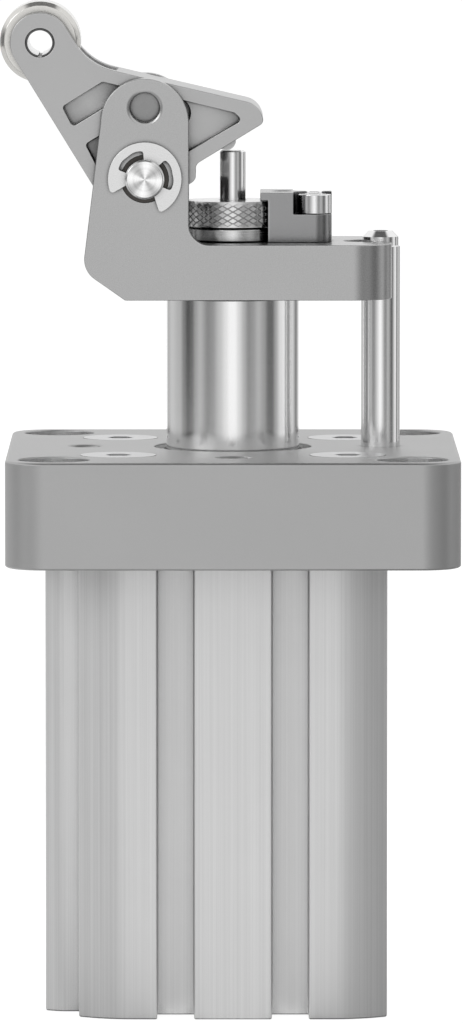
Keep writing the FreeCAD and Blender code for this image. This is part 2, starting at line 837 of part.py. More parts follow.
def make_guide_rod():
    """The fixed rod that keeps the bracket from turning, screwed into the flange."""
    shoulder = flange_top + s.guide_exposed - s.guide_tip_length
    top = flange_top + s.guide_exposed
    thread_radius = s.guide_tap_radius - s.seat_gap / 2
    body = turned_part("guide_rod", [
        (0, flange_top - s.guide_thread_length),
        (thread_radius, flange_top - s.guide_thread_length),
        (thread_radius, flange_top),
        (s.guide_radius, flange_top),
        (s.guide_radius, shoulder - s.rod_chamfer / 2),
        (s.guide_radius - s.rod_chamfer / 2, shoulder),
        (s.guide_tip_radius, shoulder),
        (s.guide_tip_radius, top - s.guide_tip_chamfer),
        (s.guide_tip_radius - s.guide_tip_chamfer, top),
        (s.guide_socket_radius, top),
        (s.guide_socket_radius, top - s.guide_socket_depth),
        (0, top - s.guide_socket_depth),
    ])
    place(body, s.guide_offset)
    return body


def make_rod_and_piston():
    """The hollow piston rod, the piston with its rings and the bolt that joins them."""
    bore_foot = nut_top - s.absorber_length
    tap_radius = s.piston_bolt_radius
    spigot_low = piston_top - s.rod_spigot_length
    rod = turned_part("piston_rod", [
        (tap_radius, spigot_low),
        (s.rod_spigot_radius, spigot_low),
        (s.rod_spigot_radius, piston_top),
        (s.rod_radius, piston_top),
        (s.rod_radius, plate_foot - s.rod_chamfer),
        (s.rod_radius - s.rod_chamfer, plate_foot),
        (s.absorber_radius, plate_foot),
        (s.absorber_radius, bore_foot),
        (0, bore_foot - s.absorber_floor),
        (0, piston_foot + s.bolt_pocket_depth + s.piston_bolt_length + s.seat_gap),
        (tap_radius, piston_foot + s.bolt_pocket_depth + s.piston_bolt_length + s.seat_gap),
    ])
    sketch = new_sketch(rod, "rod_dowel_circle", offset=plate_foot)
    draw_circle(sketch, 0, s.dowel_offset, s.dowel_radius)
    pocket(rod, "rod_dowel_hole", sketch, s.dowel_length / 2)

    rim = s.bore_radius - s.piston_gap
    lip_high = piston_top - s.lip_seal_offset
    lip_low = lip_high - s.lip_seal_height
    magnet_high = piston_top - s.magnet_offset
    magnet_low = magnet_high - s.magnet_height
    wear_high = piston_top - s.wear_ring_offset
    wear_low = wear_high - s.wear_ring_height
    pocket_top = piston_foot + s.bolt_pocket_depth
    turned_part("piston", [
        (s.piston_bolt_head_radius + s.rest_gap, piston_foot),
        (rim, piston_foot),
        (rim, wear_low),
        (rim - s.wear_ring_depth, wear_low),
        (rim - s.wear_ring_depth, wear_high),
        (rim, wear_high),
        (rim, magnet_low),
        (rim - s.magnet_depth, magnet_low),
        (rim - s.magnet_depth, magnet_high),
        (rim, magnet_high),
        (rim, lip_low),
        (rim - s.lip_seal_depth, lip_low),
        (rim - s.lip_seal_depth, lip_high),
        (rim, lip_high),
        (rim, piston_top),
        (s.rod_spigot_radius, piston_top),
        (s.rod_spigot_radius, spigot_low),
        (tap_radius, spigot_low),
        (tap_radius, pocket_top),
        (s.piston_bolt_head_radius + s.rest_gap, pocket_top),
    ])
    reach = s.bore_radius - s.lip_gap
    groove = rim - s.lip_seal_depth
    turned_part("piston_seal", [
        (groove, lip_low),
        (rim, lip_low),
        (reach, lip_high),
        (rim - s.lip_gap, lip_high),
        (rim - s.lip_seal_depth / 2, lip_low + s.lip_seal_height / 2),
        (groove + s.lip_gap, lip_high),
        (groove, lip_high),
    ])
    ring_part("piston_magnet", rim - s.magnet_depth, rim - s.lip_gap, magnet_low, magnet_high)
    ring_part("piston_wear_ring", rim - s.wear_ring_depth, reach, wear_low, wear_high)

    bolt = turned_part("piston_bolt", [
        (0, pocket_top - s.piston_bolt_head_height),
        (s.piston_bolt_head_radius - s.rod_chamfer, pocket_top - s.piston_bolt_head_height),
        (s.piston_bolt_head_radius, pocket_top - s.piston_bolt_head_height + s.rod_chamfer),
        (s.piston_bolt_head_radius, pocket_top),
        (s.piston_bolt_radius, pocket_top),
        (s.piston_bolt_radius, pocket_top + s.piston_bolt_length),
        (0, pocket_top + s.piston_bolt_length),
    ])
    sketch = new_sketch(
        bolt, "piston_bolt_hexagon", offset=pocket_top - s.piston_bolt_head_height
    )
    hexagon(sketch, ZERO, ZERO, s.piston_bolt_socket_flats)
    pocket(bolt, "piston_bolt_socket", sketch, s.piston_bolt_socket_depth, upwards=True)


def make_bracket():
    """The lever bracket: a plate on the rod, two ears for the axle and a slot for the guide rod."""
    body = new_part("bracket")
    round_top = plate_top + s.ear_round_height
    round_radius = (s.ear_left_top - s.ear_right) / 2
    sketch = new_sketch(body, "bracket_side", "XZ_Plane")
    draw_outline(sketch, [
        (-s.ear_toe, plate_foot),
        (s.plate_reach, plate_foot),
        (s.plate_reach, plate_top),
        (-s.ear_right, plate_top, s.ear_fillet_radius),
        (-s.ear_right, round_top),
        (-s.ear_left_top, round_top),
        (-s.ear_left_foot, plate_foot + s.ear_heel_height, s.ear_heel_radius),
    ])
    pad(body, "bracket_block", sketch, s.bracket_depth, symmetric=True)
    sketch = new_sketch(body, "ear_round_circle", "XZ_Plane")
    draw_circle(sketch, -(s.ear_right + s.ear_left_top) / 2, round_top, round_radius)
    pad(body, "ear_round", sketch, s.bracket_depth, symmetric=True)

    sketch = new_sketch(body, "lever_gap_box", "YZ_Plane")
    draw_box(sketch, -ear_inner, ear_inner, plate_top, round_top + round_radius * 2)
    pocket(body, "lever_gap", sketch, THROUGH, symmetric=True)

    half = s.bracket_depth / 2
    radius = s.plate_corner_radius
    for name, side in (("front", -1), ("back", 1)):
        sketch = new_sketch(body, f"{name}_corner_waste", offset=plate_top)
        draw_outline(sketch, [
            (s.plate_reach - radius - s.rest_gap, side * (half + s.rest_gap)),
            (s.plate_reach - radius - s.rest_gap, side * half),
            (s.plate_reach, side * half, radius),
            (s.plate_reach, side * (half - radius - s.rest_gap)),
            (s.plate_reach + s.rest_gap, side * (half - radius - s.rest_gap)),
            (s.plate_reach + s.rest_gap, side * (half + s.rest_gap)),
        ])
        pocket(body, f"{name}_corner", sketch, s.plate_thickness)

    slot_half = s.guide_radius + s.guide_slot_gap
    slot_start = s.guide_offset - s.guide_slot_run
    sketch = new_sketch(body, "guide_slot_box", offset=plate_top)
    draw_box(sketch, slot_start, s.plate_reach + slot_half, -slot_half, slot_half)
    pocket(body, "guide_slot", sketch, s.plate_thickness)
    sketch = new_sketch(body, "plate_circles", offset=plate_top)
    draw_circle(sketch, slot_start, 0, slot_half)
    draw_circle(sketch, 0, 0, s.absorber_radius + s.lip_gap)
    pocket(body, "plate_holes", sketch, s.plate_thickness)

    sketch = new_sketch(body, "dowel_circle", offset=plate_foot)
    draw_circle(sketch, 0, s.dowel_offset, s.dowel_radius)
    pocket(body, "dowel_hole", sketch, s.dowel_length / 2, upwards=True)
    block_screw_x = s.block_end - s.block_corner_radius
    block_screw_y = s.block_width / 2 - s.block_corner_radius
    engaged = s.block_screw_length - s.block_height + s.block_notch_depth + s.rest_gap
    sketch = new_sketch(body, "block_tap_circles", offset=plate_top)
    for side in (-1, 1):
        draw_circle(sketch, block_screw_x, side * block_screw_y, s.block_screw_radius)
    pocket(body, "block_taps", sketch, engaged)

    bush_radius = s.axle_radius + s.shaft_gap + s.bush_wall
    sketch = new_sketch(body, "ear_circles", "XZ_Plane")
    draw_circle(sketch, pivot_x, pivot_z, bush_radius)
    draw_circle(sketch, pivot_x, pivot_z + s.lock_hole_height, s.lock_hole_radius)
    pocket(body, "ear_holes", sketch, THROUGH, symmetric=True)
    for name, side in (("front", 1), ("back", -1)):
        flare = body.newObject("PartDesign::SubtractiveCone", f"{name}_lock_hole_flare")
        bind(
            flare,
            Radius1=s.lock_hole_radius + s.lock_hole_chamfer,
            Radius2=s.lock_hole_radius,
            Height=s.lock_hole_chamfer_depth,
        )
        place(flare, pivot_x, -side * ear_face, pivot_z + s.lock_hole_height)
        flare.Placement.Rotation = FreeCAD.Rotation(FreeCAD.Vector(1, 0, 0), -90 * side)
    for name, side in (("front", -1), ("back", 1)):
        low, high = sorted((side * ear_inner, side * ear_face), key=lambda size: size.value)
        bush = ring_part(
            f"axle_bush_{name}", s.axle_radius + s.shaft_gap, bush_radius, low, high, "XY_Plane"
        )
        place(bush, pivot_x, ZERO, pivot_z)

    dowel = doc.addObject("Part::Cylinder", "bracket_dowel")
    dowel.Label = "bracket_dowel"
    bind(dowel, Radius=s.dowel_radius, Height=s.dowel_length)
    place(dowel, ZERO, s.dowel_offset, plate_foot - s.dowel_length / 2)
    PARTS.append(dowel)
    return body


def make_absorber():
    """The shock absorber in the rod, its gland, lock nut, plunger and setting ring."""
    foot = nut_top - s.absorber_length
    floor = foot + s.absorber_floor
    turned_part("absorber_body", [
        (0, foot),
        (s.absorber_radius - s.rod_chamfer, foot),
        (s.absorber_radius, foot + s.rod_chamfer),
        (s.absorber_radius, nut_top),
        (s.absorber_neck_radius, nut_top),
        (s.absorber_neck_radius, neck_top),
        (s.absorber_bore_radius, neck_top),
        (s.absorber_bore_radius, floor),
        (0, floor),
    ])
    gland_hole = s.plunger_radius + s.shaft_gap
    gland_foot = neck_top - s.gland_length
    ring_part("absorber_gland", gland_hole, s.absorber_bore_radius, gland_foot, neck_top)

    chamfer = s.lock_nut_chamfer
    turned_part("absorber_lock_nut", [
        (s.absorber_radius, plate_top),
        (s.lock_nut_radius - chamfer, plate_top),
        (s.lock_nut_radius, plate_top + chamfer),
        (s.lock_nut_radius, nut_top - chamfer),
        (s.lock_nut_radius - chamfer, nut_top),
        (s.absorber_radius, nut_top),
    ])

    recess_radius = s.absorber_neck_radius + s.shaft_gap
    recess_top = neck_top + s.rest_gap
    hole_radius = s.plunger_radius + s.rest_gap
    turned_part("setting_ring", [
        (recess_radius, ring_foot),
        (s.ring_radius - s.ring_chamfer, ring_foot),
        (s.ring_radius, ring_foot + s.ring_chamfer),
        (s.ring_radius, ring_top - s.ring_chamfer),
        (s.ring_radius - s.ring_chamfer, ring_top),
        (hole_radius, ring_top),
        (hole_radius, recess_top),
        (recess_radius, recess_top),
    ])

    head_foot = plunger_top - s.plunger_length
    head_radius = s.absorber_bore_radius - s.rest_gap
    turned_part("plunger", [
        (0, head_foot),
        (head_radius, head_foot),
        (head_radius, head_foot + s.plunger_head_height),
        (s.plunger_radius, head_foot + s.plunger_head_height),
        (s.plunger_radius, plunger_top - s.plunger_chamfer),
        (s.plunger_radius - s.plunger_chamfer, plunger_top),
        (0, plunger_top),
    ])


def make_lock_block():
    """The block whose lip keeps the setting ring on, with its two cap screws."""
    body = new_part("lock_block")
    half = s.block_width / 2
    top = plate_top + s.block_height
    radius = s.block_corner_radius
    screw_x = s.block_end - radius
    screw_y = half - radius
    sketch = new_sketch(body, "block_outline", offset=plate_top)
    draw_outline(sketch, [
        (s.block_lip_start, -half),
        (s.block_end, -half, radius),
        (s.block_end, half, radius),
        (s.block_lip_start, half),
    ])
    pad(body, "block_solid", sketch, s.block_height)
    sketch = new_sketch(body, "ring_pocket_circle", offset=plate_top)
    draw_circle(sketch, 0, 0, s.block_pocket_radius)
    pocket(body, "ring_pocket", sketch, s.block_height - s.block_lip_thickness, upwards=True)
    for name, side in (("front", -1), ("back", 1)):
        sketch = new_sketch(body, f"{name}_notch_circle", offset=top)
        draw_circle(sketch, screw_x, side * screw_y, s.block_notch_radius)
        pocket(body, f"{name}_notch", sketch, s.block_notch_depth)
        sketch = new_sketch(body, f"{name}_notch_box", offset=top)
        low, high = sorted(
            (side * screw_y, side * (half + s.rest_gap)), key=lambda size: size.value
        )
        draw_box(sketch, screw_x - s.block_notch_radius, s.block_end + s.rest_gap, low, high)
        pocket(body, f"{name}_notch_mouth", sketch, s.block_notch_depth)
    sketch = new_sketch(body, "block_screw_circles", offset=top)
    for side in (-1, 1):
        draw_circle(sketch, screw_x, side * screw_y, s.block_screw_radius + s.seat_gap)
    pocket(body, "block_screw_holes", sketch, s.block_height)
    sketch = new_sketch(body, "block_hole_circle", offset=top)
    draw_circle(sketch, s.block_hole_offset, 0, s.block_hole_radius)
    pocket(body, "block_hole", sketch, s.block_hole_depth)

    screws = new_part("lock_screws")
    screws.AllowCompound = True
    head_foot = top - s.block_notch_depth
    for name, length, foot, size in (
        ("shank", s.block_screw_length, head_foot - s.block_screw_length, s.block_screw_radius),
        ("head", s.block_screw_head_height, head_foot, s.block_screw_head_radius),
    ):
        sketch = new_sketch(screws, f"lock_screw_{name}_circles", offset=foot)
        for side in (-1, 1):
            draw_circle(sketch, screw_x, side * screw_y, size)
        pad(screws, f"lock_screw_{name}", sketch, length)
    sketch = new_sketch(
        screws, "lock_screw_hexagons", offset=head_foot + s.block_screw_head_height
    )
    for side in (-1, 1):
        hexagon(sketch, screw_x, side * screw_y, s.block_screw_socket_flats)
    pocket(screws, "lock_screw_sockets", sketch, s.block_screw_socket_depth)
    return body


def make_axle():
    """The lever axle with a groove and a spring clip at each end."""
    end = ear_face + s.axle_overhang
    groove_start = ear_face + s.rest_gap - s.seat_gap / 2
    groove_end = groove_start + s.clip_thickness + s.seat_gap
    groove_radius = s.axle_radius - s.clip_groove_depth
    half = [
        (0, end),
        (s.axle_radius - s.axle_chamfer, end),
        (s.axle_radius, end - s.axle_chamfer),
        (s.axle_radius, groove_end),
        (groove_radius, groove_end),
        (groove_radius, groove_start),
        (s.axle_radius, groove_start),
    ]
    mirrored = [(x, -as_size(y)) for x, y in reversed(half)]
    axle = turned_part("lever_axle", half + mirrored, "XY_Plane")
    place(axle, pivot_x, ZERO, pivot_z)
    for name, side in (("front", 1), ("back", -1)):
        make_clip(f"axle_clip_{name}", side)


def make_clip(label, side):
    """A spring clip: an open disc that bears on the axle's groove at three lobes."""
    body = new_part(label)
    low = ear_face + s.rest_gap if side > 0 else -(ear_face + s.rest_gap + s.clip_thickness)
    sketch = new_sketch(body, f"{label}_disc_circle", "XZ_Plane", low)
    draw_circle(sketch, 0, 0, s.clip_radius)
    disc = pad(body, f"{label}_disc", sketch, s.clip_thickness)

    grip_radius = s.axle_radius - s.clip_groove_depth + s.seat_gap / 2
    sketch = new_sketch(body, f"{label}_grip_circle", "XZ_Plane", low)
    draw_circle(sketch, 0, 0, grip_radius)
    pocket(body, f"{label}_grip", sketch, s.clip_thickness, upwards=True)

    opening = s.clip_mouth_half_angle
    reach = s.clip_radius * 2
    inner_x = grip_radius * sine(opening)
    inner_z = -grip_radius * cosine(opening)
    outer_x = inner_x + reach * sine(s.clip_flare)
    outer_z = inner_z - reach * cosine(s.clip_flare)
    sketch = new_sketch(body, f"{label}_mouth_wedge", "XZ_Plane", low)
    draw_outline(sketch, [
        (-inner_x, inner_z), (-outer_x, outer_z), (outer_x, outer_z), (inner_x, inner_z), (0, 0),
    ])
    pocket(body, f"{label}_mouth", sketch, s.clip_thickness, upwards=True)

    for hand, sign in (("right", 1), ("left", -1)):
        sketch = new_sketch(body, f"{label}_{hand}_slot_outline", "XZ_Plane", low)
        draw_slot(sketch, sign, grip_radius)
        pocket(body, f"{label}_{hand}_slot", sketch, s.clip_thickness, upwards=True)
    place(body, pivot_x, ZERO, pivot_z)
    body.setExpression("Placement.Rotation.Angle", s.clip_turn.formula)
    body.Placement.Rotation = FreeCAD.Rotation(FreeCAD.Vector(0, 1, 0), s.clip_turn.value)
    return disc


def draw_slot(sketch, sign, grip_radius):
    """Draws one inner slot of a clip: a ring sector beside the bearing lobe."""
    inner = grip_radius - s.seat_gap
    outer = s.clip_slot_radius
    middle = (s.clip_slot_start + s.clip_slot_end) / 2
    spread = (s.clip_slot_end - s.clip_slot_start) / 2
    crown = outer / cosine(spread / 2)
    corners = []
    for radius, angle, rounding in (
        (inner, s.clip_slot_start, ()),
        (outer, s.clip_slot_start, (s.clip_slot_round,)),
        (crown, middle - spread / 2, (s.clip_slot_crown_round,)),
        (crown, middle + spread / 2, (s.clip_slot_crown_round,)),
        (outer, s.clip_slot_end, (s.clip_slot_round,)),
        (inner, s.clip_slot_end, ()),
    ):
        corners.append((sign * (radius * sine(angle)), -(radius * cosine(angle)), *rounding))
    draw_outline(sketch, corners)


def make_lever():
    """The forked roller lever, with ribbed pockets, and the pins that are set in it."""
    body = new_part("lever")
    lean_cos = cosine(s.arm_lean)
    lean_sin = sine(s.arm_lean)
    left_x = -s.roller_offset - s.arm_radius * lean_cos
    left_z = s.roller_rise - s.arm_radius * lean_sin
    right_x = -s.roller_offset + s.arm_radius * lean_cos
    right_z = s.roller_rise + s.arm_radius * lean_sin
    sketch = new_sketch(body, "lever_outline", "XZ_Plane")
    draw_outline(sketch, [
        (left_x, left_z),
        (right_x, right_z),
        (
            right_x + s.arm_shoulder * lean_sin,
            right_z - s.arm_shoulder * lean_cos,
            s.shoulder_radius,
        ),
        (s.nose_crown_offset, s.nose_crown_rise, s.nose_crown_radius),
        (s.nose_tip_offset, s.nose_tip_rise, s.nose_tip_radius),
        (s.chin_offset, s.chin_rise, s.chin_radius),
        (s.chin_offset, -s.jaw_drop, s.jaw_radius),
        (left_x + s.arm_length * lean_sin, left_z - s.arm_length * lean_cos, s.hub_radius),
    ])
    pad(body, "lever_block", sketch, s.lever_width, symmetric=True)
    sketch = new_sketch(body, "arm_end_circle", "XZ_Plane")
    draw_circle(sketch, -s.roller_offset, s.roller_rise, s.arm_radius)
    pad(body, "arm_end", sketch, s.lever_width, symmetric=True)

    # Each pocket lies on both faces, its corners measured from the pivot
    for name, count in (("arm_pocket", 4), ("heel_pocket", 3), ("nose_pocket", 4)):
        corners = [
            (getattr(s, f"{name}_offset_{i}"), getattr(s, f"{name}_rise_{i}"), s.pocket_round)
            for i in range(1, count + 1)
        ]
        for face, side in (("front", 1), ("back", -1)):
            sketch = new_sketch(
                body, f"{face}_{name}_outline", "XZ_Plane", side * half_lever
            )
            draw_outline(sketch, corners)
            pocket(body, f"{face}_{name}", sketch, s.pocket_depth, upwards=side < 0)

    sketch = new_sketch(body, "fork_slot_box", "XZ_Plane")
    reach = s.fork_reach
    far = s.arm_radius * 3
    low_x = -s.roller_offset + reach * lean_sin
    low_z = s.roller_rise - reach * lean_cos
    draw_outline(sketch, [
        (low_x - far * lean_cos, low_z - far * lean_sin),
        (low_x + far * lean_cos, low_z + far * lean_sin),
        (low_x + far * lean_cos - 2 * far * lean_sin, low_z + far * lean_sin + 2 * far * lean_cos),
        (low_x - far * lean_cos - 2 * far * lean_sin, low_z - far * lean_sin + 2 * far * lean_cos),
    ])
    pocket(body, "fork_slot", sketch, s.fork_gap, symmetric=True)

    sketch = new_sketch(body, "lever_circles", "XZ_Plane")
    draw_circle(sketch, 0, 0, s.axle_radius + s.shaft_gap)
    draw_circle(sketch, -s.roller_offset, s.roller_rise, s.roller_pin_radius)
    pocket(body, "lever_bores", sketch, THROUGH, symmetric=True)
    for face, side in (("front", 1), ("back", -1)):
        sketch = new_sketch(body, f"{face}_lock_bore_circle", "XZ_Plane", side * half_lever)
        draw_circle(sketch, s.lock_bore_offset, s.lock_bore_rise, s.lock_hole_radius)
        pocket(body, f"{face}_lock_bore", sketch, s.lock_bore_depth, upwards=side < 0)

    sketch = new_sketch(body, "pad_seat_circle", "XZ_Plane")
    draw_circle(sketch, s.pad_offset, s.pad_rise, s.pad_radius)
    pocket(body, "pad_seat", sketch, s.pad_length, symmetric=True)

    chamber = s.spring_chamber_radius
    sketch = new_sketch(body, "spring_chamber_circle", "XZ_Plane")
    draw_circle(sketch, 0, 0, chamber)
    pocket(body, "spring_chamber", sketch, s.spring_chamber_width, symmetric=True)
    sketch = new_sketch(body, "spring_exit_box", "XZ_Plane")
    draw_box(sketch, -chamber, chamber, -s.pivot_height, ZERO)
    pocket(body, "spring_exit", sketch, s.spring_chamber_width, symmetric=True)
    place(body, pivot_x, ZERO, pivot_z)

    half_pad = s.pad_length / 2
    pressure = turned_part("pressure_pad", [
        (0, -half_pad),
        (s.pad_radius, -half_pad),
        (s.pad_radius, half_pad),
        (0, half_pad),
    ], "XY_Plane")
    place(pressure, pivot_x + s.pad_offset, ZERO, pivot_z + s.pad_rise)
    return body


def make_roller():
    """The roller on its bush and the slit spring pin that carries it."""
    pin = ring_part(
        "roller_pin",
        s.roller_pin_bore_radius,
        s.roller_pin_radius,
        -half_lever,
        half_lever,
        "XY_Plane",
    )
    sketch = new_sketch(pin, "pin_slit_box", "XZ_Plane")
    slit = s.roller_pin_slit / 2
    draw_box(sketch, -slit, slit, -s.roller_pin_radius * 2, ZERO)
    pocket(pin, "pin_slit", sketch, THROUGH, symmetric=True)
    place(pin, roller_x, ZERO, roller_z)

    half = s.roller_width / 2
    bush_inner = s.roller_pin_radius + s.shaft_gap
    bush_outer = bush_inner + s.roller_bush_wall
    bush = ring_part("roller_bush", bush_inner, bush_outer, -half, half, "XY_Plane")
    place(bush, roller_x, ZERO, roller_z)
    chamfer = s.roller_chamfer
    roller = turned_part("roller", [
        (bush_outer, -half),
        (s.roller_radius - chamfer, -half),
        (s.roller_radius, chamfer - half),
        (s.roller_radius, half - chamfer),
        (s.roller_radius - chamfer, half),
        (bush_outer, half),
    ], "XY_Plane")
    place(roller, roller_x, ZERO, roller_z)


def coil_arcs(radius, rises, heading):
    """Returns half turns about Z that meet smoothly, each rising by its own amount."""
    arcs = []
    height, side = 0, 1
    for rise in rises:
        centre = FreeCAD.Vector(0, 0, height + rise / 2)
        start = FreeCAD.Vector(side * radius, 0, height)
        end = FreeCAD.Vector(-side * radius, 0, height + rise)
        reach = (start - centre).Length
        middle = centre + FreeCAD.Vector(0, heading * side * reach, 0)
        arcs.append(Part.Arc(start, middle, end).toShape())
        height += rise
        side = -side
    return arcs


def wire_part(label, edges, start, heading, wire_radius, placement):
    """Adds a piece of round wire bent along a smooth path."""
    section = Part.Face(Part.Wire(Part.makeCircle(wire_radius, start, heading)))
    piece = doc.addObject("Part::Feature", label)
    piece.Label = label
    piece.Shape = Part.Wire(edges).makePipe(section)
    piece.Placement = placement
    PARTS.append(piece)
    return piece


def compression_spring(label, mean_radius, wire_radius, low, high, turns):
    """Adds a coil spring with closed ends that fills the height between its two seats."""
    radius, wire = mean_radius.value, wire_radius.value
    free_halves = round(2 * turns.value) - 2
    rise = (high.value - low.value - 2 * wire) / free_halves
    edges = coil_arcs(radius, [0] + [rise] * free_halves + [0], 1)
    placement = FreeCAD.Placement(FreeCAD.Vector(0, 0, low.value + wire), FreeCAD.Rotation())
    start, heading = FreeCAD.Vector(radius, 0, 0), FreeCAD.Vector(0, 1, 0)
    return wire_part(label, edges, start, heading, wire, placement)


def make_lever_spring():
    """The wire spring round the axle that keeps the lever up on the plunger."""
    wire, radius = s.lever_spring_wire.value, s.lever_spring_radius.value
    halves = round(2 * s.lever_spring_turns.value)
    length = s.spring_chamber_width.value - 4 * wire
    down = s.pivot_height.value - s.rest_gap.value
    up = math.sqrt(s.spring_chamber_radius.value ** 2 - (radius + wire) ** 2)
    foot = FreeCAD.Vector(radius, down, 0)
    coil_start = FreeCAD.Vector(radius, 0, 0)
    coil_end = FreeCAD.Vector(radius, 0, length)
    tip = FreeCAD.Vector(radius, -up, length)
    edges = [
        Part.makeLine(foot, coil_start),
        *coil_arcs(radius, [length / halves] * halves, -1),
        Part.makeLine(coil_end, tip),
    ]
    placement = FreeCAD.Placement(
        FreeCAD.Vector(pivot_x.value, -length / 2, pivot_z.value),
        FreeCAD.Rotation(FreeCAD.Vector(1, 0, 0), -90),
    )
    return wire_part("lever_spring", edges, foot, FreeCAD.Vector(0, -1, 0), wire, placement)


make_barrel()
make_end_cap()
make_cap_ring()
make_flange()
make_flange_screws()
make_guide_rod()
make_rod_and_piston()
make_bracket()
make_absorber()
make_lock_block()
make_axle()
make_lever()
make_roller()
compression_spring(
    "advance_spring",
    s.advance_spring_radius,
    s.advance_spring_wire,
    cap_top,
    piston_foot - s.seat_gap,
    s.advance_spring_turns,
)
compression_spring(
    "absorber_spring",
    s.absorber_spring_radius,
    s.absorber_spring_wire,
    nut_top - s.absorber_length + s.absorber_floor,
    plunger_top - s.plunger_length - s.seat_gap,
    s.absorber_spring_turns,
)
make_lever_spring()
doc.recompute()

failed = [
    item.Name for item in doc.Objects if "Invalid" in item.State or "Error" in item.State
]
if failed:
    raise RuntimeError(f"objects that did not build: {failed}")
for part in PARTS:
    if part.Shape.isNull() or not part.Shape.isValid() or not part.Shape.Solids:
        raise RuntimeError(f"{part.Label} has no valid solid")

os.makedirs("parts", exist_ok=True)
for part in PARTS:
    part.Shape.exportStep(f"parts/{part.Label}.step")
    print(part.Label, len(part.Shape.Solids), round(part.Shape.Volume, 1))
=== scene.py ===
import json
import logging
import math
from contextlib import contextmanager
from dataclasses import dataclass, field
from enum import Enum
from functools import partial
from typing import Callable, Iterable, Iterator

import bpy
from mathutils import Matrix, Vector


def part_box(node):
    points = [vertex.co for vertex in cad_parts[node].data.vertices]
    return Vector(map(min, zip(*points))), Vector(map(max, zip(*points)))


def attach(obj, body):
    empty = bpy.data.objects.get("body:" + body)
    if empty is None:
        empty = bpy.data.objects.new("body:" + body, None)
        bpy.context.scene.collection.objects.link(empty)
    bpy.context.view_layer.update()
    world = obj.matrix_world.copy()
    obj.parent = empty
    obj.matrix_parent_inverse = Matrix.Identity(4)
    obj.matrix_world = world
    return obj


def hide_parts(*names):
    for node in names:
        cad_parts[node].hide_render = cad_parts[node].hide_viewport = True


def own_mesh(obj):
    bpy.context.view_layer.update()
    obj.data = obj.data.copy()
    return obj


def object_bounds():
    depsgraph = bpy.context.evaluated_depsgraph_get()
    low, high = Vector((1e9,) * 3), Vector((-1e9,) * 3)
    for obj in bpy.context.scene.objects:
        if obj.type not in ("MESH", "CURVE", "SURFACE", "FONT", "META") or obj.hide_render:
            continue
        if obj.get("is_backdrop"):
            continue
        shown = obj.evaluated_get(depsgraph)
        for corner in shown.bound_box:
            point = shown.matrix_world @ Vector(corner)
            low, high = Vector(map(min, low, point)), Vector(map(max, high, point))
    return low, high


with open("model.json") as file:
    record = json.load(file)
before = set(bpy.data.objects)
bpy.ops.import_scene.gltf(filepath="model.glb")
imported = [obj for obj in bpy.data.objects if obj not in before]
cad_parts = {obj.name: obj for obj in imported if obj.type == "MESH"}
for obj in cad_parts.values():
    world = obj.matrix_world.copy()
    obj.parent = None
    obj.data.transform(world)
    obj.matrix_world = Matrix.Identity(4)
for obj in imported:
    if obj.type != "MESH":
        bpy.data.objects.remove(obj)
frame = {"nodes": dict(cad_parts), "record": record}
CAD_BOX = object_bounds()

LOG = logging.getLogger("stopper_cylinder")
MM = 0.001
HAIR = 1e-6
PIVOT = Vector((-0.0223, 0.0, 0.2118))
ROLLER_CENTRE = Vector((-0.0489, 0.0, 0.2460))

Colour = tuple[float, float, float]
Place = tuple[float, float, float]
Span = tuple[float, float]
Stops = tuple[tuple[float, float], ...]
Inputs = dict[str | int, object]
Mesh = bpy.types.Object
Edge = bpy.types.MeshEdge
Material = bpy.types.Material
Tree = bpy.types.NodeTree
Node = bpy.types.Node
Socket = bpy.types.NodeSocket
Outputs = bpy.types.NodeOutputs


class Lay(Enum):
    """The way the fine marks of a finish run over a surface."""

    UPRIGHT = "upright"
    ALONG_X = "along_x"
    ROUND_Z = "round_z"
    ROUND_PIVOT = "round_pivot"
    ROUND_ROLLER = "round_roller"
    EVEN = "even"


LONG_AXES = {Lay.UPRIGHT: 2, Lay.ALONG_X: 0}
CENTRES = {Lay.ROUND_Z: Vector(), Lay.ROUND_PIVOT: PIVOT, Lay.ROUND_ROLLER: ROLLER_CENTRE}


# Node work


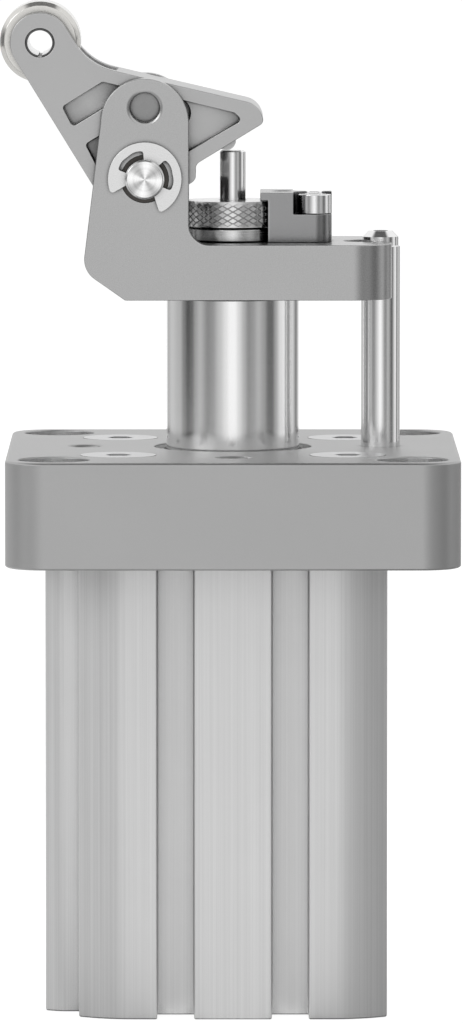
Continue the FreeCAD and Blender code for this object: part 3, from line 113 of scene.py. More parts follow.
class Bench:
    """Adds and joins the nodes of one tree."""

    def __init__(self, tree: Tree, given: Outputs | None = None) -> None:
        """Keeps the tree to work on, and what is given to it where it is a group."""
        self.tree = tree
        self.given = given

    def add(self, kind: str, inputs: Inputs | None = None, **settings: object) -> Node:
        """Adds a node.

        Args:
            kind: The node's type name after ShaderNode.
            inputs: What goes into its inputs, as for feed.
            settings: Properties to set on it first.

        Returns:
            The new node.
        """
        node = self.tree.nodes.new(f"ShaderNode{kind}")
        for name, value in settings.items():
            setattr(node, name, value)
        self.feed(node, inputs or {})
        return node

    def feed(self, node: Node, inputs: Inputs) -> None:
        """Fills inputs of a node.

        Args:
            node: The node.
            inputs: An output to link or a value to write, by the input's name or number.
        """
        for key, value in inputs.items():
            if isinstance(value, Socket):
                self.tree.links.new(value, node.inputs[key])
            else:
                node.inputs[key].default_value = value

    def sum_up(self, operation: str, *values: Socket | float) -> Socket:
        """Adds one arithmetic node and gives its output."""
        return self.add("Math", dict(enumerate(values)), operation=operation).outputs[0]

    def group(self, tree: Tree, *values: float) -> Socket:
        """Places a node group with its own values and gives its output."""
        return self.add("Group", dict(enumerate(values)), node_tree=tree).outputs[0]

    def stretch(self, value: Socket, span: Span, to: Span, smooth: bool = False) -> Socket:
        """Maps a span of values to another one and holds its ends.

        Args:
            value: The value to map.
            span: Where the value starts and ends.
            to: What comes out at the start and at the end.
            smooth: Whether the ends run out softly.

        Returns:
            The mapped value.
        """
        ends = {"From Min": span[0], "From Max": span[1], "To Min": to[0], "To Max": to[1]}
        way = "SMOOTHSTEP" if smooth else "LINEAR"
        return self.add("MapRange", {"Value": value, **ends}, interpolation_type=way).outputs["Result"]

    def place(self, centre: Vector | None = None) -> Socket:
        """Gives the place on the object.

        Args:
            centre: Where to measure it from, instead of the origin.

        Returns:
            The place.
        """
        place = self.add("TexCoord").outputs["Object"]
        if centre is None:
            return place
        return self.add("VectorMath", {0: place, 1: centre}, operation="SUBTRACT").outputs[0]

    def split(self, place: Socket) -> Outputs:
        """Splits a place into X, Y and Z."""
        return self.add("SeparateXYZ", {0: place}).outputs

    def mix(self, share: Socket | float, under: Node, over: Node) -> None:
        """Mixes two shaders, with a share of the upper one, and makes them the surface."""
        mixed = self.add("MixShader", {0: share, 1: under.outputs[0], 2: over.outputs[0]})
        self.feed(self.tree.nodes["Material Output"], {"Surface": mixed.outputs[0]})


def new_material(name: str) -> tuple[Material, Bench, Node]:
    """Starts a material.

    Args:
        name: The material's name.

    Returns:
        The material, its bench and its shader.
    """
    material = bpy.data.materials.new(name)
    material.use_nodes = True
    return material, Bench(material.node_tree), material.node_tree.nodes["Principled BSDF"]


@dataclass
class Effects:
    """The surface effects that several finishes share, each a node group."""

    noise_span: Span = (0.3, 0.7)
    both_ways: Span = (-1.0, 1.0)
    mark_detail: float = 3.0
    mark_breakup: float = 0.65
    cloud_detail: float = 2.0
    fan_wobble: float = 2.2
    fan_drift: float = 1.2
    cover_samples: int = 6
    gap_gain: float = 2.0
    deep_reach: float = 8.0
    deep_span: Span = (0.52, 0.78)
    deep_tone: Span = (0.0, 0.5)

    def __post_init__(self) -> None:
        """Makes each group once."""
        rates = {"Marks per metre": 4000.0, "Length share": 0.01}
        self.marks = {
            lay: self._group(f"marks_{lay.value}", rates, partial(self._marks, lay)) for lay in Lay
        }
        self.clouds = self._group("clouds", {"Patches per metre": 40.0}, self._clouds)
        # The fan group paints a turned sheen, a painted reflection, into the colour.
        self.fan = self._group("turned_fan", {"Rays": 4.0}, self._fan)
        # The crevices group drives painted shade in corners, gaps and deep holes.
        self.crevices = self._group("crevices", {"Reach": MM}, self._crevices)
        # The edge group drives a brightening of outer edges that is partly wear and partly a painted
        # highlight.
        self.worn_edges = self._group("worn_edges", {"Reach": MM}, self._worn_edges)

    @staticmethod
    def _group(name: str, inputs: dict[str, float], make: Callable[[Bench], Socket]) -> Tree:
        """Makes a group with number inputs and one value output.

        Args:
            name: The group's name.
            inputs: Input names with their usual values.
            make: Adds the effect's nodes and gives its value.

        Returns:
            The group.
        """
        tree = bpy.data.node_groups.new(name, "ShaderNodeTree")
        number = {"socket_type": "NodeSocketFloat"}
        for label, value in inputs.items():
            tree.interface.new_socket(name=label, in_out="INPUT", **number).default_value = value
        tree.interface.new_socket(name="Value", in_out="OUTPUT", **number)
        bench = Bench(tree, tree.nodes.new("NodeGroupInput").outputs)
        bench.feed(tree.nodes.new("NodeGroupOutput"), {"Value": make(bench)})
        return tree

    def _marks(self, lay: Lay, bench: Bench) -> Socket:
        """Makes fine marks that run one way.

        Args:
            lay: The way the marks run.
            bench: The group's bench.

        Returns:
            A value from -1 to 1.
        """
        fine = bench.given["Marks per metre"]
        long = bench.sum_up("MULTIPLY", fine, bench.given["Length share"])
        centre = CENTRES.get(lay)
        if centre is None:
            parts = bench.split(bench.place())
            slow = LONG_AXES.get(lay)
            rated = [(parts[axis], long if axis == slow else fine) for axis in range(3)]
        else:
            parts = bench.split(bench.place(centre))
            axis = 2 if lay is Lay.ROUND_Z else 1
            others = [parts[other] for other in range(3) if other != axis]
            squares = [bench.sum_up("MULTIPLY", other, other) for other in others]
            radius = bench.sum_up("SQRT", bench.sum_up("ADD", *squares))
            rated = [(radius, fine), (parts[axis], fine), (others[0], long)]
        scaled = [bench.sum_up("MULTIPLY", part, rate) for part, rate in rated]
        noise = bench.add("TexNoise", {
            "Vector": bench.add("CombineXYZ", dict(enumerate(scaled))).outputs[0],
            "Scale": 1.0, "Detail": self.mark_detail, "Roughness": self.mark_breakup,
        })
        return bench.stretch(noise.outputs["Fac"], self.noise_span, self.both_ways)

    def _clouds(self, bench: Bench) -> Socket:
        """Makes broad soft patches that vary a tone.

        Args:
            bench: The group's bench.

        Returns:
            A value from -1 to 1.
        """
        inputs = {"Vector": bench.place(), "Scale": bench.given[0], "Detail": self.cloud_detail}
        noise = bench.add("TexNoise", inputs).outputs["Fac"]
        return bench.stretch(noise, self.noise_span, self.both_ways)

    def _fan(self, bench: Bench) -> Socket:
        """Paints the bright rays of sheen that a face-turned end shows round the pivot line, as a
        painted reflection.

        Args:
            bench: The group's bench.

        Returns:
            A value from -1 to 1.
        """
        parts = bench.split(bench.place(PIVOT))
        angle = bench.sum_up("ARCTAN2", parts["Z"], parts["X"])
        wobble = bench.add("TexNoise", {"W": angle, "Scale": self.fan_wobble}, noise_dimensions="1D")
        drift = bench.sum_up("MULTIPLY", wobble.outputs["Fac"], self.fan_drift)
        turn = bench.sum_up("MULTIPLY", angle, bench.given["Rays"])
        return bench.sum_up("COSINE", bench.sum_up("ADD", turn, drift))

    def _worn_edges(self, bench: Bench) -> Socket:
        """Finds outer edges, from 0 on open flats up to 1 on an edge, for a brightening that is partly
        wear and partly a painted highlight.
        """
        return self._cover(bench, bench.given["Reach"], inside=True)

    def _crevices(self, bench: Bench) -> Socket:
        """Finds inner corners and narrow gaps, which the finishes darken as painted shade.

        Args:
            bench: The group's bench.

        Returns:
            A value from 0 on open flats up to 1 and more in a deep gap.
        """
        near = self._cover(bench, bench.given["Reach"], inside=False)
        near = bench.sum_up("MULTIPLY", bench.sum_up("MULTIPLY", near, near), self.gap_gain)
        far = bench.sum_up("MULTIPLY", bench.given["Reach"], self.deep_reach)
        # The deep term darkens deep holes further, as painted shade.
        deep = self._cover(bench, far, inside=False)
        deep = bench.stretch(deep, self.deep_span, self.deep_tone, smooth=True)
        return bench.sum_up("ADD", near, deep)

    def _cover(self, bench: Bench, reach: Socket, inside: bool) -> Socket:
        """Measures how much of the surroundings within a reach is solid.

        Args:
            bench: The group's bench.
            reach: How far it looks, in metres.
            inside: Whether it looks into the piece, not out of it.

        Returns:
            A value from 0 to 1.
        """
        kind = {"inside": inside, "samples": self.cover_samples}
        cover = bench.add("AmbientOcclusion", {"Distance": reach}, **kind)
        return bench.sum_up("SUBTRACT", 1.0, cover.outputs["AO"])


def grey(tone: float) -> Colour:
    """Gives a neutral colour."""
    return (tone, tone, tone)


@dataclass(frozen=True)
class Marks:
    """The fine marks that a way of making leaves: how dense, long, dark, deep and rough."""

    per_metre: float
    lay: Lay = Lay.EVEN
    length_share: float = 1.0
    tone: float = 0.03
    depth: float = 1e-6
    roughness: float = 0.04


@dataclass(frozen=True)
class Finish:
    """One surface finish."""

    name: str
    colour: Colour
    roughness: float
    marks: Marks
    metallic: float = 1.0
    cloud_tone: float = 0.02
    clouds_per_metre: float = 40.0
    # The fan tone paints a sheen, a painted reflection, into the colour.
    painted_sheen_tone: float = 0.0
    rays: float = 4.0
    # The crevice darkening set below is painted shade in inner corners, gaps and deep holes.
    painted_shade: float = 0.0
    painted_shade_reach: float = 2 * MM
    # The outer-edge brightening set below is partly wear and partly a painted highlight.
    wear: float = 0.0
    wear_and_highlight_reach: float = 0.4 * MM
    darkest: float = 0.04

    def material(self, effects: Effects) -> Material:
        """Builds the finish as a material.

        Args:
            effects: The shared effect groups.

        Returns:
            The new material.
        """
        material, bench, shader = new_material(self.name)
        how = self.marks
        marks = bench.group(effects.marks[how.lay], how.per_metre, how.length_share)
        tone = bench.sum_up("MULTIPLY", marks, how.tone)
        for share, group, value in (
            (self.cloud_tone, effects.clouds, self.clouds_per_metre),
            # Painted sheen: the bright rays of a turned face.
            (self.painted_sheen_tone, effects.fan, self.rays),
            # Outer edges brightened: partly wear, partly a painted highlight.
            (self.wear, effects.worn_edges, self.wear_and_highlight_reach),
            # Painted shade: inner corners, gaps and deep holes darkened.
            (-self.painted_shade, effects.crevices, self.painted_shade_reach),
        ):
            if share:
                change = bench.sum_up("MULTIPLY", bench.group(group, value), share)
                tone = bench.sum_up("ADD", tone, change)
        light = bench.sum_up("MAXIMUM", bench.sum_up("ADD", tone, 1.0), self.darkest)
        paint = bench.add("HueSaturation", {"Color": (*self.colour, 1.0), "Value": light})
        rough = bench.sum_up("MULTIPLY", marks, how.roughness)
        bump = bench.add("Bump", {"Distance": how.depth, "Height": marks})
        bench.feed(shader, {
            "Base Color": paint.outputs["Color"],
            "Metallic": self.metallic,
            "Roughness": bench.sum_up("ADD", rough, self.roughness),
            "Normal": bump.outputs["Normal"],
        })
        return material


class Finishes:
    """Every finish of the cylinder, made into a material when first asked for."""

    # In these finishes the crevice darkening is painted shade, the outer-edge brightening is partly
    # wear and partly a painted highlight, and the fan on the axle is a painted sheen.
    BARREL = Finish(
        "extruded_anodised_aluminium", grey(0.695), 0.42,
        Marks(1500, Lay.UPRIGHT, 0.003, tone=0.07, depth=3e-6),
        metallic=0.9, cloud_tone=0.01, painted_shade=1.1, painted_shade_reach=0.6 * MM,
    )
    FLANGE = Finish(
        "blasted_anodised_aluminium", grey(0.455), 0.42, Marks(5200, depth=2.5e-6),
        cloud_tone=0.012, painted_shade=0.8,
    )
    # A lighter colour for hole walls, a painted reflection.
    BORED = Finish("bright_bored_aluminium", grey(0.74), 0.3, Marks(3000, Lay.UPRIGHT, 0.3, tone=0.05))
    BRACKET = Finish(
        "satin_nickel_steel", grey(0.445), 0.28, Marks(6500, tone=0.015, roughness=0.02),
        cloud_tone=0.012, painted_shade=1.1, painted_shade_reach=1.2 * MM, wear=0.45,
    )
    LEVER = Finish(
        "satin_nickel_forging", grey(0.46), 0.3,
        Marks(4800, tone=0.02, depth=1.5e-6, roughness=0.025),
        painted_shade=1.3, painted_shade_reach=0.8 * MM, wear=0.45,
    )
    # The same satin nickel as the bracket, with its colour darkened as painted shade.
    BLOCK = Finish(
        "satin_nickel_block", (0.3, 0.3, 0.303), 0.24, Marks(6500, tone=0.015),
        painted_shade=1.2, wear=0.6,
    )
    ROD = Finish(
        "ground_hard_chrome", grey(0.85), 0.12,
        Marks(9000, Lay.ROUND_Z, 0.02, tone=0.012, depth=2e-7, roughness=0.015), cloud_tone=0.006,
    )
    PLUNGER = Finish(
        "polished_plunger_steel", grey(0.88), 0.16,
        Marks(9000, Lay.ROUND_Z, 0.02, tone=0.01, depth=2e-7, roughness=0.015), cloud_tone=0.005,
    )
    NUT = Finish(
        "turned_bright_steel", grey(0.8), 0.24, Marks(7000, Lay.ROUND_Z, 0.01, depth=5e-7),
        painted_shade=1.0,
    )
    CAP = Finish(
        "turned_anodised_aluminium", grey(0.6), 0.3, Marks(3500, Lay.ROUND_Z, 0.004, tone=0.06),
        metallic=0.9, painted_shade=1.0, wear=0.2,
    )
    KNURL = Finish(
        "knurled_steel", grey(0.74), 0.22, Marks(7000), painted_shade=0.45, painted_shade_reach=0.4 * MM,
    )
    SCREW = Finish(
        "bright_zinc_steel", (0.86, 0.86, 0.865), 0.15, Marks(6000), painted_shade=1.2, wear=0.2,
    )
    SUNK_SCREW = Finish(
        "satin_zinc_steel", (0.55, 0.55, 0.555), 0.3, Marks(6000), painted_shade=0.8, wear=0.4,
    )
    CLIP = Finish(
        "bright_spring_steel", grey(0.73), 0.26, Marks(8000, Lay.ALONG_X, 0.03, tone=0.02),
        painted_shade=0.6, wear=0.1,
    )
    # The axle's fan of bright rays is a painted sheen in its colour.
    AXLE = Finish(
        "face_turned_steel", grey(0.74), 0.22, Marks(2400, Lay.ROUND_PIVOT, 0.002, tone=0.15),
        painted_sheen_tone=0.34, painted_shade=0.5,
    )
    ROLLER = Finish(
        "turned_roller_steel", (0.69, 0.68, 0.655), 0.17, Marks(5000, Lay.ROUND_ROLLER, 0.002),
        metallic=0.9, painted_shade=0.8,
    )
    PIN = Finish("blackened_pin_steel", grey(0.1), 0.3, Marks(7000, Lay.ROUND_ROLLER, 0.01, tone=0.05))
    PIN_BORE = Finish("bright_pin_bore", grey(0.8), 0.2, Marks(7000, Lay.ROUND_ROLLER, 0.01))
    # A near-black colour on the bushes, painted shadow for the gap round the axle and inside the roller
    # pin's slit.
    BUSH = Finish(
        "oiled_sintered_bush", (0.07, 0.065, 0.06), 0.4, Marks(3000, tone=0.2, depth=4e-6),
        metallic=0.6,
    )
    BRONZE = Finish(
        "oiled_sintered_bronze", (0.42, 0.29, 0.16), 0.38, Marks(3000, tone=0.1, depth=4e-6),
    )
    SPRING = Finish("bright_spring_wire", grey(0.6), 0.25, Marks(5000))
    RUBBER = Finish(
        "black_seal_rubber", (0.025, 0.025, 0.027), 0.55, Marks(2500, tone=0.15, depth=6e-6),
        metallic=0.0,
    )
    WIPER = Finish(
        "grey_wiper_plastic", grey(0.6), 0.5, Marks(2500, tone=0.08, depth=4e-6),
        metallic=0.0, painted_shade=0.7,
    )
    WEAR_PLASTIC = Finish(
        "ivory_wear_plastic", (0.55, 0.5, 0.42), 0.45, Marks(2500, tone=0.05, depth=4e-6),
        metallic=0.0,
    )
    FERRITE = Finish(
        "sintered_ferrite", (0.07, 0.07, 0.075), 0.6, Marks(3000, tone=0.2, depth=6e-6),
        metallic=0.0,
    )

    def __init__(self) -> None:
        """Makes the shared effects."""
        self.effects = Effects()
        self.made: dict[str, Material] = {}

    def material(self, finish: Finish) -> Material:
        """Finds or makes the material of a finish.

        Args:
            finish: The finish wanted.

        Returns:
            Its material.
        """
        if finish.name not in self.made:
            self.made[finish.name] = finish.material(self.effects)
        return self.made[finish.name]


# Mesh work


CAD_MERGE = 2e-6
CAD_FLAT = math.radians(0.6)
SHARP = math.radians(32.0)
SMOOTH_BELOW = 30.0
ROUNDED_BELOW = 50.0
FLAT_WEIGHT = 80


def select_only(piece: Mesh) -> None:
    """Selects one object and makes it the active one.

    Args:
        piece: The object.
    """
    bpy.ops.object.select_all(action="DESELECT")
    piece.select_set(True)
    bpy.context.view_layer.objects.active = piece


@contextmanager
def editing(piece: Mesh, everything: bool = True) -> Iterator[None]:
    """Opens a piece in edit mode for the lines that follow.

    Args:
        piece: The piece to edit.
        everything: Whether all of it is selected, or only what was chosen.

    Returns:
        The context for those lines.
    """
    select_only(piece)
    bpy.ops.object.mode_set(mode="EDIT")
    if everything:
        bpy.ops.mesh.select_all(action="SELECT")
    yield
    bpy.ops.object.mode_set(mode="OBJECT")


def choose(piece: Mesh, kind: str, indices: Iterable[int]) -> None:
    """Selects some vertices, edges or faces of a piece and nothing else.

    Args:
        piece: The piece.
        kind: VERT, EDGE or FACE.
        indices: Which of them to select.
    """
    with editing(piece, everything=False):
        bpy.ops.mesh.select_mode(type=kind)
        bpy.ops.mesh.select_all(action="DESELECT")
    mesh = piece.data
    items = {"VERT": mesh.vertices, "EDGE": mesh.edges, "FACE": mesh.polygons}[kind]
    for index in indices:
        items[index].select = True


def put_in(name: str, data: bpy.types.ID) -> bpy.types.Object:
    """Puts a new object with this data in the scene.

    Args:
        name: The object's name.
        data: Its mesh, lamp or camera.

    Returns:
        The object.
    """
    thing = bpy.data.objects.new(name, data)
    bpy.context.scene.collection.objects.link(thing)
    return thing


def primitive(name: str, add: Callable[..., set[str]], **settings: object) -> Mesh:
    """Adds a primitive to shape.

    Args:
        name: The new piece's name.
        add: The operator that adds it.
        settings: The operator's settings.

    Returns:
        The new piece.
    """
    bpy.ops.object.select_all(action="DESELECT")
    add(**settings)
    piece = bpy.context.active_object
    piece.name = name
    return piece


def settle(piece: Mesh) -> None:
    """Writes the object's place into its mesh, so that it sits at the origin unturned."""
    select_only(piece)
    bpy.ops.object.transform_apply(location=True, rotation=True, scale=True)


def apply_modifier(piece: Mesh, kind: str, **settings: object) -> None:
    """Adds a modifier, sets it and applies it.

    Args:
        piece: The object to work on.
        kind: The modifier's type.
        settings: Its properties.
    """
    select_only(piece)
    bpy.ops.object.modifier_add(type=kind)
    modifier = piece.modifiers[-1]
    for name, value in settings.items():
        setattr(modifier, name, value)
    bpy.ops.object.modifier_apply(modifier=modifier.name)


def tidy_normals(piece: Mesh, distance: float = HAIR) -> None:
    """Merges doubles and turns all normals outwards.

    Args:
        piece: The object to work on.
        distance: How near doubles are, in metres.
    """
    with editing(piece):
        bpy.ops.mesh.remove_doubles(threshold=distance)
        bpy.ops.mesh.normals_make_consistent(inside=False)


def shade(piece: Mesh, angle: float = SMOOTH_BELOW) -> Mesh:
    """Shades a piece smooth.

    Args:
        piece: The object to work on.
        angle: Edges sharper than this, in degrees, stay sharp.

    Returns:
        The piece.
    """
    select_only(piece)
    bpy.ops.object.shade_smooth_by_angle(angle=math.radians(angle))
    return piece


def cad_copy(node: str) -> Mesh:
    """Copies a CAD node's shape into a new piece, with its triangles merged into whole faces.

    Args:
        node: The CAD node to copy.

    Returns:
        The new piece, with no material yet.
    """
    mesh = frame["nodes"][node].data.copy()
    mesh.name = f"{node}_shape"
    mesh.materials.clear()
    piece = put_in(mesh.name, mesh)
    select_only(piece)
    bpy.ops.mesh.customdata_custom_splitnormals_clear()
    with editing(piece):
        bpy.ops.mesh.remove_doubles(threshold=CAD_MERGE)
        bpy.ops.mesh.dissolve_limited(angle_limit=CAD_FLAT)
        bpy.ops.mesh.normals_make_consistent(inside=False)
    return piece


def sharp_edges(piece: Mesh, angle: float = SHARP) -> list[Edge]:
    """Finds the sharp edges of a piece.

    Args:
        piece: The piece.
        angle: The least angle of a sharp edge, in radians.

    Returns:
        The edges.
    """
    choose(piece, "EDGE", ())
    with editing(piece, everything=False):
        bpy.ops.mesh.edges_select_sharp(sharpness=angle)
    return [edge for edge in piece.data.edges if edge.select]


def ends_of(piece: Mesh, edge: Edge) -> tuple[Vector, Vector]:
    """Gives the places of an edge's two ends."""
    first, second = edge.vertices
    return piece.data.vertices[first].co, piece.data.vertices[second].co


def ease_edges(piece: Mesh, width: float, share: Callable[[Vector], float] | None = None) -> Mesh:
    """Rounds the sharp edges of a piece and keeps its flats flat.

    Args:
        piece: The object to work on.
        width: Greatest width of a rounding in metres.
        share: Gives the share of the width for the middle of an edge, where it varies.

    Returns:
        The piece.
    """
    limit = {"limit_method": "ANGLE", "angle_limit": SHARP}
    if share is not None:
        limit = {"limit_method": "WEIGHT"}
        chosen = sharp_edges(piece)
        weights = piece.data.attributes.new("bevel_weight_edge", "FLOAT", "EDGE")
        for edge in chosen:
            first, second = ends_of(piece, edge)
            weights.data[edge.index].value = share((first + second) / 2)
    profile = {"segments": 2, "use_clamp_overlap": False, "miter_outer": "MITER_ARC"}
    apply_modifier(piece, "BEVEL", width=width, **profile, **limit)
    shade(piece, ROUNDED_BELOW)
    apply_modifier(piece, "WEIGHTED_NORMAL", keep_sharp=True, weight=FLAT_WEIGHT)
    return piece


@dataclass(frozen=True)
class Thread:
    """The winding ridge of a tapped hole, with its profile as shares of the pitch."""

    radius: float
    pitch: float
    turns: int
    sunk: float = 0.04 * MM
    height: float = 0.3
    profile: tuple[float, float, float] = (0.05, 0.5, 0.95)
    steps: int = 28

    def ridge(self) -> Mesh:
        """Winds the ridge from the origin up the Z axis.

        Returns:
            The ridge, with no material yet.
        """
        circle = {"vertices": 3, "radius": self.radius, "fill_type": "NOTHING"}
        piece = primitive("thread_ridge", bpy.ops.mesh.primitive_circle_add, **circle)
        root = self.radius + self.sunk
        outs = (root, self.radius - self.height * self.pitch, root)
        for vertex, out, up in zip(piece.data.vertices, outs, self.profile):
            vertex.co = (out, 0.0, up * self.pitch)
        apply_modifier(
            piece, "SCREW", axis="Z", angle=2 * math.pi, screw_offset=self.pitch,
            iterations=self.turns, steps=self.steps, render_steps=self.steps, use_merge_vertices=False,
        )
        with editing(piece):
            bpy.ops.mesh.fill_holes(sides=3)
        tidy_normals(piece)
        return shade(piece)


def twin(piece: Mesh, name: str, turn: Place, place: Place) -> Mesh:
    """Makes another one of a piece, with its own mesh, turned and put elsewhere.

    Args:
        piece: The piece to repeat.
        name: The new piece's name.
        turn: Its turn about the three axes in degrees.
        place: Where its origin goes.

    Returns:
        The new piece.
    """
    other = put_in(name, piece.data.copy())
    other.rotation_euler = [math.radians(degrees) for degrees in turn]
    other.location = place
    settle(other)
    return other


@dataclass
class Dresser:
    """Gives pieces and CAD nodes their finish and body."""

    finishes: Finishes
    slots: dict[str, str] = field(default_factory=dict)
    bodies: dict[str, str] = field(default_factory=dict)

    def __post_init__(self) -> None:
        """Reads which body and slot each CAD node has."""
        record = frame["record"]
        self.slots = {row["node"]: row["material_slot"] for row in record["subparts"]}
        for body, nodes in record["behaviour"]["bodies"].items():
            self.bodies.update(dict.fromkeys(nodes, body))

    def dress(self, piece: Mesh, node: str, finish: Finish, replaces: bool = True) -> Mesh:
        """Finishes a new piece that belongs to a CAD node.

        Args:
            piece: The new piece.
            node: The CAD node that it stands for or sits on.
            finish: Its surface finish.
            replaces: Whether it stands for the node.

        Returns:
            The piece.
        """
        piece.data.materials.clear()
        piece.data.materials.append(self.finishes.material(finish))
        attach(piece, self.bodies[node])
        if replaces:
            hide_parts(node)
        return piece

    def repaint(self, finish: Finish, *nodes: str) -> None:
        """Gives CAD nodes that stay a detailed finish.

        Args:
            finish: The finish.
            nodes: The CAD nodes.
        """
        for node in nodes:
            for slot in frame["nodes"][node].material_slots:
                slot.material = self.finishes.material(finish)

    def eased(self, node: str, finish: Finish, width: float) -> Mesh:
        """Replaces a node by a copy with edges rounded to a width in metres."""
        return self.dress(ease_edges(cad_copy(node), width), node, finish)

    def smoothed(self, node: str, finish: Finish) -> Mesh:
        """Replaces a node by a smooth shaded copy of the same shape."""
        return self.dress(shade(cad_copy(node)), node, finish)

    def squeezed(self, node: str, joint: str, travel: float) -> Mesh:
        """Adds an upright spring as a smooth shaded copy of its node, with a mesh of its own.

        Args:
            node: The CAD node of the spring.
            joint: The joint that would shorten it; not used.
            travel: How much shorter it would get at the joint's limit, in metres; not used.

        Returns:
            The new piece.
        """
        piece = self.smoothed(node, Finishes.SPRING)
        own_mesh(piece)
        return piece


# The cylinder's sub-assemblies


@dataclass
class Assembly:
    """A sub-assembly that is built piece by piece."""

    dresser: Dresser

    def build(self) -> Iterable[Mesh]:
        """Builds the pieces in order."""
        raise NotImplementedError


@dataclass
class Housing(Assembly):
    """The barrel, the flange and what is fixed to them."""

    barrel_edge: float = 0.42 * MM
    flange_edge: float = 0.09 * MM
    hole_edge: float = 0.42 * MM
    screw_edge: float = 0.15 * MM
    stroke: float = 30 * MM
    flange_half: float = 57.25 * MM
    flange_corner: float = 10.0 * MM
    outline_slack: float = 0.2 * MM
    wall: float = 1 * MM
    upright: float = 0.3
    port_mouth: float = -46.6 * MM
    port_heights: Span = (27.0 * MM, 106.0 * MM)
    port_thread: Thread = Thread(4.283 * MM, 0.907 * MM, 8)
    tap_ring: float = 37.7 * MM
    tap_depth: float = 16.2 * MM
    tap_thread: Thread = Thread(3.6 * MM, 1.25 * MM, 12)

    def build(self) -> Iterable[Mesh]:
        """Builds the pieces in order.

        Returns:
            Each piece as it is made.
        """
        dresser = self.dresser
        yield dresser.eased("barrel", Finishes.BARREL, self.barrel_edge)
        yield self._flange()
        yield dresser.eased("flange_screws", Finishes.SUNK_SCREW, self.screw_edge)
        yield dresser.smoothed("guide_rod", Finishes.ROD)
        yield dresser.smoothed("rod_wiper", Finishes.WIPER)
        yield dresser.eased("end_cap_ring", Finishes.CLIP, self.screw_edge)
        yield dresser.eased("end_cap", Finishes.CAP, self.screw_edge)
        yield dresser.squeezed("advance_spring", "rod_stroke", self.stroke)
        yield from self._threads()
        dresser.repaint(Finishes.RUBBER, "end_cap_seal", "flange_seal", "rod_seal", "stroke_bumper")
        dresser.repaint(Finishes.BRONZE, "rod_bearing")

    def _from_corner(self, place: Vector) -> float:
        """Measures how far a place lies from the middle of its corner's rounding."""
        straight = self.flange_half - self.flange_corner
        return math.hypot(*(max(abs(value) - straight, 0.0) for value in place.xy))

    def _flange(self) -> Mesh:
        """Makes the flange, with wider roundings at its holes than round its outside.

        Returns:
            The flange, with a lighter colour painted inside its holes as a painted reflection.
        """

        def share(middle: Vector) -> float:
            """Tells how wide the rounding of an edge is."""
            outside = abs(self._from_corner(middle) - self.flange_corner) < self.outline_slack
            return self.flange_edge / self.hole_edge if outside else 1.0

        piece = ease_edges(cad_copy("flange"), self.hole_edge, share)
        self.dresser.dress(piece, "flange", Finishes.FLANGE)
        # Hole walls get the lighter colour, a painted reflection.
        for face in piece.data.polygons:
            within = self._from_corner(face.center) < self.flange_corner - self.wall
            if within and abs(face.normal.z) < self.upright:
                face.material_index = 1
        piece.data.materials.append(self.dresser.finishes.material(Finishes.BORED))
        return piece

    def _threads(self) -> Iterable[Mesh]:
        """Winds the threads of the two air ports and of the three open guide holes.

        Returns:
            Each thread as it is made.
        """
        ports = {
            f"{label}_port_thread": (self.port_mouth, 0.0, height)
            for label, height in zip(("lower", "upper"), self.port_heights)
        }
        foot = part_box("flange")[1][2] - self.tap_depth
        taps = {
            f"guide_hole_thread_{number}": (x * self.tap_ring, y * self.tap_ring, foot)
            for number, (x, y) in enumerate(((0, -1), (-1, 0), (0, 1)), 1)
        }
        for node, finish, thread, turn, places in (
            ("barrel", Finishes.BARREL, self.port_thread, (0, 90, 0), ports),
            ("flange", Finishes.FLANGE, self.tap_thread, (0, 0, 0), taps),
        ):
            ridge = thread.ridge()
            for name, place in places.items():
                yield self.dresser.dress(twin(ridge, name, turn, place), node, finish, replaces=False)
            bpy.data.objects.remove(ridge)


@dataclass
class Ram(Assembly):
    """The piston rod, the bracket and the shock absorber that ride up and down."""

    bracket_edge: float = 0.22 * MM
    block_edge: float = 0.2 * MM
    head_edge: float = 0.3 * MM
    nut_edge: float = 0.12 * MM
    plunger_travel: float = 9.6 * MM

    def build(self) -> Iterable[Mesh]:
        """Builds the pieces in order.

        Returns:
            Each piece as it is made.
        """
        dresser = self.dresser
        yield dresser.smoothed("piston_rod", Finishes.ROD)
        yield dresser.eased("bracket", Finishes.BRACKET, self.bracket_edge)
        yield dresser.eased("lock_block", Finishes.BLOCK, self.block_edge)
        yield dresser.eased("lock_screws", Finishes.SCREW, self.head_edge)
        yield dresser.eased("absorber_lock_nut", Finishes.NUT, self.nut_edge)
        yield dresser.smoothed("absorber_body", Finishes.NUT)
        yield dresser.smoothed("axle_bush_front", Finishes.BUSH)
        yield dresser.smoothed("axle_bush_back", Finishes.BUSH)
        yield dresser.smoothed("lever_spring", Finishes.SPRING)
        yield dresser.squeezed("absorber_spring", "plunger_travel", self.plunger_travel)
        dresser.repaint(Finishes.FLANGE, "piston")
        dresser.repaint(Finishes.RUBBER, "piston_seal")
        dresser.repaint(Finishes.FERRITE, "piston_magnet")
        dresser.repaint(Finishes.WEAR_PLASTIC, "piston_wear_ring")
        dresser.repaint(Finishes.SCREW, "piston_bolt", "bracket_dowel")
        dresser.repaint(Finishes.NUT, "absorber_gland")


